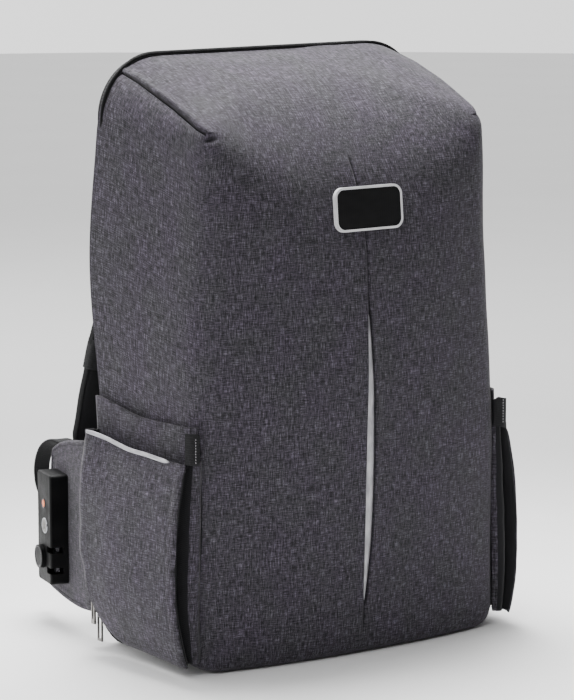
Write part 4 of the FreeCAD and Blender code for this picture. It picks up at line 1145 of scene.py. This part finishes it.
def pocket_tab(side, word):
    """The webbing tab that bridges the gusset's top, with its row of stitches."""
    top, low = 190.0, 166.0
    z = np.linspace(low, top, 22)
    u = np.linspace(0, 1, 14)
    start_x, end_x = (145.8, 156.0) if side < 0 else (137.0, 147.5)
    grid = np.zeros((len(z), len(u), 3))
    grid[..., 0] = side * (start_x + (end_x - start_x) * u[None] + 0 * z[:, None])
    grid[..., 1] = -71.4 - 2.2 * np.sin(math.pi * u)[None] + 2.4 * (1 - smooth(0, 0.10, u))[None]
    grid[..., 1] += 2.0 * smooth(0.8, 1.0, u)[None]
    slope = 1.5 if side < 0 else -3.0
    rounded = 3.0 * hump(0, 0.12, u)[None] * smooth(178, top, z)[:, None]
    grid[..., 2] = z[:, None] + slope * u[None] - rounded
    uv = cloth_grid(u[None] * 16, z[:, None])
    sheet_piece(f"{word}_pocket_tab", oriented(grid, -side), 1.6, flipped(uv, -side), "front_body",
                ["webbing"])
    middle_x = side * (start_x + end_x) / 2
    seam_at = np.stack([np.full(20, middle_x), np.full(20, -75.2), np.linspace(low + 2, top - 1, 20)], 1)
    stitches(f"{word}_pocket_tab_stitches", [seam_at], [-BACKWARDS], "front_body", 1.5, 0.7, 0.8,
             "thread_pale")


def pocket_edge(side, word):
    """Stitches down the outer panel's front edge."""
    edge_y = np.full(60, POCKET_FRONT + 10.5)
    edge_z = np.linspace(16, pocket_top(POCKET_FRONT) - 3, 60)
    edge = np.stack([side * (belly(side, edge_y, edge_z) - 0.1), edge_y, edge_z], 1)
    stitches(f"{word}_pocket_edge_stitches", [edge], [np.array([side, 0, 0.0])], "front_body", 2.6, 1.6, 0.5)


def pocket(side):
    word = SIDE_WORD[side]
    pocket_panel(side, word)
    pocket_back(side, word)
    pocket_gusset(side, word)
    if side < 0:
        pocket_rear_wall(side, word)
    pocket_piping(side, word)
    pocket_tab(side, word)
    pocket_edge(side, word)


def oriented(grid, side):
    """The grid with its columns turned round on one side, so that its normals point outwards on both."""
    return grid if side > 0 else grid[:, ::-1]


def flipped(uv, side):
    return uv if side > 0 else uv[:, ::-1]


# ---------------------------------------------------------------- straps, wings and webbing

STRAP_TOP = 412.0
STRAP_X = 70.0                          # middle of a strap at its top
STRAP_SPLAY = math.radians(7)
STRAP_WIDE, STRAP_THICK = 46.0, 12.6
STRAP_LINE = [(REAR + 27, STRAP_TOP), (REAR + 37, STRAP_TOP - 30), (REAR + 55, STRAP_TOP - 92),
              (REAR + 76, STRAP_TOP - 171), (REAR + 89, STRAP_TOP - 250), (REAR + 93, STRAP_TOP - 281)]


def on_strap(side, across, y, z):
    """Place of a point of a strap that was drawn straight down, once the strap is splayed."""
    x = side * (STRAP_X + across * math.cos(STRAP_SPLAY) + (STRAP_TOP - z) * math.sin(STRAP_SPLAY))
    down = STRAP_TOP + (z - STRAP_TOP) * math.cos(STRAP_SPLAY) + across * math.sin(STRAP_SPLAY)
    return np.stack(np.broadcast_arrays(x, y, down), -1)


def strap_frame(side, first, last, count):
    """Middle line and outward directions of a stretch of strap, from 0 at its anchor to 1 at its end."""
    line = along_curve([(0, y, z) for y, z in STRAP_LINE], 200)
    line = evenly(line[int(first * 199):int(last * 199) + 1], count)
    ahead = tangents(line)
    outer = np.stack([0 * ahead[:, 0], -ahead[:, 2], ahead[:, 1]], 1)
    path = on_strap(side, 0.0, line[:, 1], line[:, 2])
    return path, outer


def strap(side):
    word = SIDE_WORD[side]
    path, out = strap_frame(side, 0.0, 1.0, 90)
    t = np.linspace(0, 1, 90)
    wide = 1 - 0.10 * hump(0, 0.10, t) - 0.30 * smooth(0.93, 1.0, t) + 0.015 * np.sin(t * 40)
    quilt = 1 - 0.10 * sum(hump(c, 0.012, t) for c in (0.12, 0.3, 0.5, 0.7, 0.88))
    thick = quilt * (1 - 0.45 * hump(0, 0.05, t) - 0.4 * smooth(0.94, 1.0, t))
    pad = sweep_piece(f"{word}_strap_pad", path, oval(STRAP_WIDE, STRAP_THICK, 2.9, 36), out, "back_panel",
                      "black_fabric", scale=np.stack([wide, thick], 1))
    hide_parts(f"{word}_shoulder_strap")
    across = unit(np.cross(tangents(path), out))
    for edge in (-1, 1):
        rail = path + across * (edge * (STRAP_WIDE / 2 - 0.6) * wide)[:, None]
        which = "outer" if edge == side else "inner"
        sweep_piece(f"{word}_strap_binding_{which}", rail, oval(2.6, 7.0, 2.4, 12), out, "back_panel",
                    "binding")
    # webbing sewn down the outer face, with its rows of stitches
    lift = (STRAP_THICK / 2 * thick + 0.5)[:, None] * out
    run = (path + lift)[6:84]
    run_out = out[6:84]
    sweep_piece(f"{word}_strap_webbing_sewn", run, oval(20, 1.8, 6, 16), run_out, "back_panel",
                "webbing")
    run_across = across[6:84]
    rows = [run + run_across * edge * 8.2 + run_out * 0.9 for edge in (-1, 1)]
    stitches(f"{word}_strap_stitches", rows, [run_out, run_out], "back_panel", 2.8, 1.6, 0.6)
    # a keeper band round the strap, low on its pad
    keep, keep_out = strap_frame(side, 0.66, 0.745, 9)
    sweep_piece(f"{word}_strap_keeper", keep, oval(STRAP_WIDE + 2.6, STRAP_THICK + 4.4, 3.4, 40), keep_out,
                "back_panel", "webbing",
                scale=np.stack([1 - 0.02 * hump(0, 2, np.arange(9)), np.ones(9)], 1))


webbing_low, webbing_high = node_box("right_strap_webbing")
WEBBING_X = (webbing_low[0] + webbing_high[0]) / 2
WEBBING_WIDE = webbing_high[0] - webbing_low[0]
WEBBING_LINE = [(151.5, 119), (156, 131), (164, 141), (176, 143.5), (187, 136), (192.5, 121), (191, 104),
                (182, 90)]
WEBBING_DRIFT = 0.32                    # it leans outwards as it leaves the strap


def strap_webbing(side):
    """The webbing tail from the ladder lock, over in a loop and down to the wing."""
    word = SIDE_WORD[side]
    first_y = WEBBING_LINE[0][0]
    knots = [(side * (WEBBING_X - 4.5 + WEBBING_DRIFT * (y - first_y)), y, z) for y, z in WEBBING_LINE]
    path = along_curve(knots, 70)
    wide_way = unit(np.array([side, WEBBING_DRIFT, 0.0]))
    out = unit(np.cross(wide_way, tangents(path))) * -side
    piece = sweep_piece(f"{word}_strap_tail", path, oval(WEBBING_WIDE - 5, 2.2, 5, 20), out, "back_panel",
                        "webbing")
    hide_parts(f"{word}_strap_webbing")


WING_TURN = math.radians(12)
WING_AT = (147.0, 84.0)
WING_FRONT = -18.0


def on_wing(side, out, back, up):
    """Place of a point given in a wing's own frame: out from its middle, back along it, and up."""
    bend = (9.0 if side < 0 else 2.5) * smooth(4, WING_FRONT, back)
    x = side * (WING_AT[0] - bend + out * math.cos(WING_TURN) - back * math.sin(WING_TURN))
    y = WING_AT[1] + out * math.sin(WING_TURN) + back * math.cos(WING_TURN)
    return np.stack(np.broadcast_arrays(x, y, up), -1)


def wing_edge(t):
    """Rear edge of a wing, from its low corner at 0 to its high corner at 1."""
    return 104.0 - 17.0 * t


def wing(side):
    word = SIDE_WORD[side]
    s, t = np.meshgrid(np.linspace(0, 1, 50), np.linspace(0, 1, 46))
    back = WING_FRONT + s * (wing_edge(t) - WING_FRONT)
    lower = np.interp(back, [-18, 46, 104], [24, 21, 24]) + 2.5 * smooth(96, 104, back)
    upper = np.interp(back, [-18, 40, 87, 104], [161, 152, 140, 136]) - 3.0 * smooth(76, 88, back)
    up = lower + (upper - lower) * t
    rim = np.minimum(np.minimum(back - WING_FRONT, wing_edge(t) - back), np.minimum(up - lower, upper - up))
    puff = 1.3 * smooth(0, 14, rim) + 0.6 * hump(2.5, 2.5, rim) - 0.7 * hump(7.5, 1.3, rim)
    for word_face, sign, key in (("outer", 1, "melange_fabric"), ("inner", -1, "black_fabric")):
        place = on_wing(side, 0, back, up)
        wave = 0.9 * ripple(place, 34, 3.0 + sign) * smooth(0, 12, rim)
        thick = 0.35 + puff + wave * 0.6 if sign > 0 else -0.45 - 0.25 * puff
        grid = on_wing(side, thick, back, up)
        way = side * sign
        verts_uv = np.stack([back, up], -1)
        piece = sheet_piece(f"{word}_wing_{word_face}", oriented(grid, way), 0.9, flipped(verts_uv, way),
                            "back_panel", [key])
        if sign > 0:
            darken(piece)
            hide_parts(f"{word}_wing")
    edge = [on_wing(side, 0, b, u) for b, u in
            [(-18, 160), (10, 157), (40, 152), (64, 146.5), (84, 138.5), (88, 133), (92, 110), (98, 72),
             (103, 32), (101, 26.5), (94, 24), (70, 22), (46, 21.2), (14, 22.6), (-18, 24)]]
    path = along_curve(edge, 150)
    sideways = np.broadcast_to(on_wing(side, 1, 0, 0) - on_wing(side, 0, 0, 0), path.shape)
    sweep_piece(f"{word}_wing_binding", path, oval(3.6, 3.2, 2.6, 14), sideways, "back_panel",
                "melange_fabric")
    row = along_curve([on_wing(side, 2.2, b, u) for b, u in
                       [(-12, 152), (40, 145), (78, 134.5), (82, 128), (90, 78), (95, 34), (88, 30.5),
                        (46, 28), (-12, 30.5)]], 200)
    stitches(f"{word}_wing_stitches", [row], [sideways[0]], "back_panel", 2.6, 1.5, 0.55)


# ---------------------------------------------------------------- the back

def rounded_ring(half, low, top, low_r, top_r):
    """A rounded outline in X and Z with the same number of points however small it is."""
    low_r, top_r = max(low_r, 1.0), max(top_r, 1.0)
    corners = [(half - top_r, top - top_r, top_r, 0), (-(half - top_r), top - top_r, top_r, 90),
               (-(half - low_r), low + low_r, low_r, 180), (half - low_r, low + low_r, low_r, 270)]
    straight = (30, 44, 30, 44)         # points on the top, left, low and right stretches
    ring = []
    for i, (x, z, radius, start) in enumerate(corners):
        for angle in np.radians(np.linspace(start, start + 90, 12)):
            ring.append((x + radius * math.cos(angle), z + radius * math.sin(angle)))
        nx, nz, near, begin = corners[(i + 1) % 4]
        first = np.array(ring[-1])
        begin = math.radians(begin)
        last = np.array([nx + near * math.cos(begin), nz + near * math.sin(begin)])
        for t in np.linspace(0, 1, straight[i] + 2)[1:-1]:
            ring.append(tuple(first + (last - first) * t))
    return np.array(ring)


def at_depth(ring, y, x=0.0, z=0.0):
    """An X and Z outline as points at a Y, moved by x and z."""
    return np.stack([ring[:, 0] + x, np.full(len(ring), y), ring[:, 1] + z], 1)


PAD_BOXES = [node_box(f"back_pad_{level}_{hand}")
             for level in ("upper", "lower") for hand in ("left", "right")]


def back_cover():
    """The padded cover of the back panel: a flat flange, a crowned field, and channels round the pads."""
    insets = [0, 1.2, 4, 8, 12, 13.6, 15, 17, 20, 25] + list(range(31, 136, 6))
    rings, uv = [], []
    for inset in insets:
        half, low, top = cover_high[0] - inset, cover_low[2] + inset, cover_high[2] - inset
        ring = rounded_ring(half, low, top, 24.5 - inset * 0.5, 56 - inset * 0.4)
        rise = 1.6 + 6.6 * smooth(12.6, 24, inset) + 0.5 * hump(9, 3, inset) - 0.5 * (inset == 0)
        x, z = ring[:, 0], ring[:, 1]
        dip = np.zeros(len(ring))
        for low_at, high_at in PAD_BOXES:
            dx = np.maximum(low_at[0] - x, x - high_at[0])
            dz = np.maximum(low_at[2] - z, z - high_at[2])
            dip = np.maximum(dip, 2.4 * hump(1.5, 5.5, np.maximum(dx, dz)))
        y = cover_low[1] + rise - dip * (inset > 20)
        place = np.stack([x, y + np.zeros(len(ring)), z], 1)
        place[:, 1] += 0.7 * ripple(place, 30, 8.0) * (inset > 16)
        rings.append(tucked(place))
        uv.append(np.stack([x, z], 1))
    grid = np.array(rings)
    count = grid.shape[1]
    faces = grid_faces(len(insets), count, closed=True, flip=True)
    middle = tuple((len(insets) - 1) * count + np.arange(count))
    faces.append(middle[::-1])
    base = grid[0] * [1, 0, 1] + [0, cover_low[1], 0]
    verts = np.vstack([grid.reshape(-1, 3), base])
    first = len(insets) * count
    faces += [(j, (j + 1) % count, first + (j + 1) % count, first + j) for j in range(count)]
    faces.append(tuple(first + np.arange(count)))
    piece = make_piece("back_panel_cover", verts, faces, "back_panel", ["panel_nylon"],
                       np.vstack([np.array(uv).reshape(-1, 2), base[:, [0, 2]]]))
    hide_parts("back_cover")
    seam = rounded_ring(cover_high[0] - 11, cover_low[2] + 11, cover_high[2] - 11, 19, 51)
    path = tucked(at_depth(seam, cover_low[1] + 2.1))
    stitches("back_panel_stitches", [path], [BACKWARDS], "back_panel", 3.0, 1.8, 0.6)


def inflate(piece, steps=20, cap=4.0, voxel=5.0):
    """Swells a closed mesh with a cloth simulation, each point by at most cap millimetres, and applies it."""
    scene = bpy.context.scene
    bpy.context.view_layer.objects.active = piece
    remesh = piece.modifiers.new("remesh", "REMESH")
    remesh.mode = "VOXEL"
    remesh.voxel_size = voxel * MM
    bpy.ops.object.modifier_apply(modifier=remesh.name)
    start = np.empty(len(piece.data.vertices) * 3)
    piece.data.vertices.foreach_get("co", start)
    cloth = piece.modifiers.new("cloth", "CLOTH")
    cloth.settings.use_pressure = True
    cloth.settings.uniform_pressure_force = 4.0
    cloth.settings.effector_weights.gravity = 0.0
    cloth.settings.tension_stiffness = 25
    cloth.settings.bending_stiffness = 2.0
    for number in range(1, steps + 1):
        scene.frame_set(number)
    shape = piece.evaluated_get(bpy.context.evaluated_depsgraph_get()).to_mesh()
    moved = np.empty(len(shape.vertices) * 3)
    shape.vertices.foreach_get("co", moved)
    piece.evaluated_get(bpy.context.evaluated_depsgraph_get()).to_mesh_clear()
    piece.modifiers.remove(cloth)
    scene.frame_set(1)
    shift = (moved - start).reshape(-1, 3)
    far = np.linalg.norm(shift, axis=1, keepdims=True)
    shift *= np.minimum(1, cap * MM / np.maximum(far, 1e-9))
    start = start + shift.ravel()
    piece.data.vertices.foreach_set("co", start)
    refine = piece.modifiers.new("refine", "SUBSURF")
    refine.levels = 1
    bpy.ops.object.modifier_apply(modifier=refine.name)
    piece.data.polygons.foreach_set("use_smooth", [True] * len(piece.data.polygons))


def back_pad(level, hand):
    """One air-mesh pad: swollen by simulation, flat on the cover, with sewn channels and a piped edge."""
    low, high = node_box(f"back_pad_{level}_{hand}")
    centre = (low + high) / 2
    half_x, half_z = (high[0] - low[0]) / 2 - 3.5, (high[2] - low[2]) / 2 - 3.5
    tall = high[1] - low[1]
    rings = []
    for inset, rise in ((0, -0.5), (0, 2.5), (1.5, 5.5), (5, 8.0), (11, tall - 2.6), (22, tall - 2.2),
                        (36, tall - 2.0)):
        corner = 16 - inset * 0.3
        ring = rounded_ring(half_x - inset, -half_z + inset, half_z - inset, corner, corner)
        rings.append(at_depth(ring, low[1] + rise, centre[0], centre[2]))
    grid = np.array(rings)
    piece = make_piece(f"back_pad_{level}_{hand}_mesh", grid.reshape(-1, 3), capped_faces(*grid.shape[:2]),
                       "back_panel", ["air_mesh"])
    inflate(piece)
    co = np.empty(len(piece.data.vertices) * 3)
    piece.data.vertices.foreach_get("co", co)
    co = co.reshape(-1, 3) / MM
    inside = smooth(low[1] + 2, low[1] + 7, co[:, 1])
    lines = [centre[2] + step for step in (-half_z * 0.36, half_z * 0.36)]
    groove = sum(hump(line, 2.6, co[:, 2]) for line in lines)
    edge = np.minimum(half_x - np.abs(co[:, 0] - centre[0]), half_z - np.abs(co[:, 2] - centre[2]))
    co[:, 1] -= 2.6 * groove * inside * smooth(6, 14, edge)
    co[:, 1] = np.clip(co[:, 1], low[1], high[1] + 1.5)
    piece.data.vertices.foreach_set("co", (co * MM).ravel())
    piece.data.update()
    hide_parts(f"back_pad_{level}_{hand}")
    ring = rounded_ring(half_x + 2.2, -half_z - 2.2, half_z + 2.2, 17, 17)
    path = at_depth(ring, low[1] + 1.0, centre[0], centre[2])
    sweep_piece(f"back_pad_{level}_{hand}_piping", path, oval(3.0, 3.0, 2, 10), BACKWARDS, "back_panel",
                "binding", True)


def trolley_band():
    """The stretched band that slips over a suitcase's handle, folded down to the cover at both ends."""
    low, high = node_box("trolley_sleeve")
    half = high[0]
    end = [(half - 1, low[1] + 0.6, 0), (half - 1.2, low[1] + 9, 0), (half - 2.5, high[1] - 3.2, 0),
           (half - 8, high[1] - 1.2, 0), (70, high[1] - 0.9, 0)]
    mirrored = [(-x, y, z) for x, y, z in end]
    line = along_curve(mirrored + [(0, high[1] - 0.7, 0)] + end[::-1], 150)
    heights = np.array([low[2], low[2] + 0.8, low[2] + 5, low[2] + 6, low[2] + 20, (low[2] + high[2]) / 2,
                        high[2] - 20, high[2] - 6, high[2] - 5, high[2] - 0.8, high[2]])
    grid = np.zeros((len(heights), len(line), 3))
    grid[..., 0], grid[..., 1], grid[..., 2] = line[None, :, 0], line[None, :, 1], heights[:, None]
    middle = smooth(half, half - 20, np.abs(grid[..., 0]))
    sag = np.sin(math.pi * (grid[..., 2] - low[2]) / (high[2] - low[2]))
    grid[..., 1] -= middle * (0.9 * sag + 0.4 * ripple(grid, 26, 2.0))
    steps = lengths(line)
    uv = cloth_grid(steps[None], heights[:, None])
    band = sheet_piece("trolley_band", grid[:, ::-1], 1.3, uv[:, ::-1], "back_panel",
                       ["black_fabric"])
    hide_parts("trolley_sleeve")
    rows = []
    for z in (low[2] + 5.5, high[2] - 5.5):
        row = line[14:-14].copy()
        row[:, 2] = z
        row[:, 1] += 0.1
        rows.append(row)
    stitches("trolley_band_stitches", rows, [BACKWARDS] * 2, "back_panel", 2.8, 1.8, 0.55)


HANDLE_AT = np.array([0.0, 86.0, 434.0])
HANDLE_RADIUS = 40.6


def carry_handle():
    """The webbing loop that hangs from the patch, thickened and wrapped where it is held."""
    angles = np.radians(np.linspace(182, 358, 70))
    path = np.stack([HANDLE_RADIUS * np.cos(angles), np.full(70, HANDLE_AT[1]),
                     HANDLE_AT[2] + HANDLE_RADIUS * np.sin(angles)], 1)
    out = unit(path - HANDLE_AT)
    loop = sweep_piece("handle_webbing", path, oval(17, 2.4, 5, 20), out, "grab_handle",
                       "webbing")
    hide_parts("grab_handle")
    grip = path[18:52]
    t = np.linspace(0, 1, len(grip))
    end = 1 - 0.35 * (hump(0, 0.06, t) + hump(1, 0.06, t))
    wrap = sweep_piece("handle_grip", grip, oval(20, 7.5, 3.0, 28), out[18:52], "grab_handle",
                       "black_fabric", scale=np.stack([1 + 0 * end, end], 1))
    seam = grip - out[18:52] * 3.6
    stitches("handle_grip_stitches", [seam], [-out[18:52]], "grab_handle", 2.4, 1.4, 0.6)
    for hand, end_x in (("left", -1), ("right", 1)):
        hub = np.array([(end_x * x, HANDLE_AT[1], HANDLE_AT[2]) for x in (37.4, 39.2, 41.0, 42.6)])
        sweep_piece(f"handle_hub_{hand}", hub, oval(5.4, 5.4, 2, 20), BACKWARDS, "grab_handle",
                    "webbing")


def handle_patch():
    """The sewn patch that anchors the handle, with its box-and-cross stitching."""
    low, high = node_box("handle_patch")
    half, thick = high[0], 2.2
    rings = []
    for inset, rise in ((0, 0.0), (0, 1.3), (0.8, thick), (3.0, thick + 0.3), (5.0, thick), (7, thick + 0.2)):
        ring = rounded_ring(half - inset, low[2] + inset, high[2] - inset, 4 - inset * 0.4, 4 - inset * 0.4)
        rings.append(at_depth(ring, low[1] + rise))
    grid = np.array(rings)
    patch = make_piece("handle_patch_cloth", grid.reshape(-1, 3), capped_faces(*grid.shape[:2]), "back_panel",
                       ["black_fabric"], grid[..., [0, 2]].reshape(-1, 2))
    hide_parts("handle_patch")
    rows = []
    y = low[1] + thick + 0.2
    for side in (-1, 1):
        a, b, lo, hi = side * 56, side * 47, low[2] + 3, high[2] - 3
        box = [(a, lo), (b, lo), (b, hi), (a, hi), (a, lo)]
        for (x0, z0), (x1, z1) in list(zip(box, box[1:])) + [((a, lo), (b, hi)), ((a, hi), (b, lo))]:
            rows.append(np.stack([np.linspace(x0, x1, 8), np.full(8, y), np.linspace(z0, z1, 8)], 1))
        near, far = side * 42.9, side * 45.6
        lug = np.array([(0, low[1] + 1.0, HANDLE_AT[2]), (0, 79, HANDLE_AT[2]), (0, 86, HANDLE_AT[2]),
                        (0, 90.6, HANDLE_AT[2])]) + [(near + far) / 2, 0, 0]
        sweep_piece(f"handle_lug_{SIDE_WORD[side]}", lug, oval(12, 2.7, 3.5, 20),
                    np.array([1.0, 0, 0]), "back_panel", "webbing",
                    scale=[(1, 1), (1, 1), (1, 1), (0.7, 0.9)])
    stitches("handle_patch_stitches", rows, [BACKWARDS] * len(rows), "back_panel", 2.2, 0.9, 0.55)


# ---------------------------------------------------------------- inside

def inner_pocket(label, node, body, face, lining=False):
    """A soft pocket inside the bag: a bellied front, gathered sides and a bound, slightly slack top edge.

    face is -1 where the pocket's mouth side looks forwards, 1 where it looks back.
    """
    low, high = node_box(node)
    wide = high[0] - low[0]
    deep = high[1] - low[1]
    s, t = np.meshgrid(np.linspace(0, 1, 44), np.linspace(0, 1, 40))
    round_way = np.sin(math.pi * s)
    x = low[0] + wide * s
    wall = low[1] + 1.2 if face > 0 else high[1] - 1.2
    belly_out = (deep - 2.4) * np.clip(round_way * 9, 0, 1) ** 0.5 * (0.96 + 0.04 * np.sin(math.pi * t))
    y = wall + face * belly_out
    z = low[2] + (high[2] - low[2] - 1.5 * round_way) * t
    grid = np.stack([x, y, z], -1)
    slack = np.abs(0.7 * ripple(grid, 24, 7.0)) * (belly_out > 2) * smooth(0, 0.2, s * (1 - s) * 4)
    grid[..., 1] += face * slack
    uv = np.stack([x, z], -1)
    key = "lining" if lining else "black_fabric"
    piece = sheet_piece(label, oriented(grid, -face), 1.2, flipped(uv, -face), body, [key])
    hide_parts(node)
    rail = grid[-1] + [0, face * 1.3, 0.4]
    sweep_piece(f"{label}_binding", rail, oval(2.0, 6.0, 2.6, 12), UPWARDS, body, "binding")


def hinge_cloth():
    """The fabric hinge: a strip sewn to both rims; it is taken off its body and left in place, so it does not
    fold as the back panel swings open.
    """
    rows = np.linspace(HINGE_LOW, HINGE_HIGH, 60)
    depth = np.linspace(REAR - 4.0, cover_low[1] + 1.0, 15)
    grid = np.zeros((len(rows), len(depth), 3))
    grid[..., 1], grid[..., 2] = depth[None], rows[:, None]
    grid[..., 0] = HINGE_X + 0.4 + 0.9 * np.sin(math.pi * (depth - depth[0]) / (depth[-1] - depth[0]))[None]
    grid[..., 0] += 0.25 * ripple(grid, 12, 2.0)
    verts, faces, flat, _ = thick_sheet(grid, 0.9, cloth_grid(depth[None], rows[:, None]))
    piece = make_piece("hinge_cloth", verts, faces, "front_body", ["black_fabric"], flat)
    piece.parent = None
    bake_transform(piece)
    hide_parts("hinge_gusset")


# ---------------------------------------------------------------- lock details

KEY_AT, BUTTON_AT, LENS_AT = (62.0, 81.0), (69.0, 54.5), (64.0, 99.0)
LOCK_FACE = 17.0                        # how far the lock's outer face stands from the wing's middle


def ring_on_lock(label, centre, radius, hole, low, high, body, material, count=40):
    """A flat ring on the lock's outer face, from low to high above the wing's middle."""
    turns = np.arange(count) * 2 * math.pi / count
    section = ((hole, low), (hole, high - 0.15), (hole + 0.2, high), (radius - 0.25, high),
               (radius, high - 0.25), (radius, low))
    grid = np.array([on_wing(-1, out, centre[0] + r * np.cos(turns), centre[1] + r * np.sin(turns))
                     for r, out in section])
    make_piece(label, grid.reshape(-1, 3), grid_faces(len(section), count, closed=True), body,
               [material], sharp=50)


def lock_details():
    """The button's spring, a collar round the key, a ring on the button's cap and a bezel round the lens."""
    turns = np.linspace(0, 5 * 2 * math.pi, 160)
    coil = on_wing(-1, np.linspace(7.5, 14.7, 160), BUTTON_AT[0] + 3.3 * np.cos(turns),
                   BUTTON_AT[1] + 3.3 * np.sin(turns))
    inwards = on_wing(-1, 0, 0, 0) - on_wing(-1, 1, 0, 0)
    spring = sweep_piece("button_spring_coil", coil, oval(0.8, 0.8, 2, 8), -inwards, "back_panel",
                         "steel")
    tuple(on_wing(-1, 7.2, *BUTTON_AT) * MM)
    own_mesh(spring)
    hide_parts("button_spring")
    ring_on_lock("key_collar", KEY_AT, 6.3, 5.35, LOCK_FACE - 0.6, LOCK_FACE + 0.55, "back_panel",
                 "steel")
    ring_on_lock("button_ring", BUTTON_AT, 8.6, 7.6, LOCK_FACE + 2.6, LOCK_FACE + 3.75, "release_button",
                 "cap_pale")
    ring_on_lock("lens_bezel", LENS_AT, 4.3, 3.15, LOCK_FACE - 0.6, LOCK_FACE + 0.35, "back_panel",
                 "black_plastic")


# ---------------------------------------------------------------- run

camera()
lamps()
studio()
round_floor()
finish_frame_nodes()
fabric_case()
slit_reflector()
zip_and_binding()
for hand in (-1, 1):
    pocket(hand)
    strap(hand)
    strap_webbing(hand)
    wing(hand)
back_cover()
for level in ("upper", "lower"):
    for hand in ("left", "right"):
        back_pad(level, hand)
trolley_band()
carry_handle()
handle_patch()
inner_pocket("organiser_cloth", "organiser_pocket", "front_body", 1, lining=True)
inner_pocket("power_bank_cloth", "power_bank_pocket", "front_body", 1, lining=True)
inner_pocket("laptop_cloth", "laptop_sleeve", "back_panel", -1)
hinge_cloth()
lock_details()
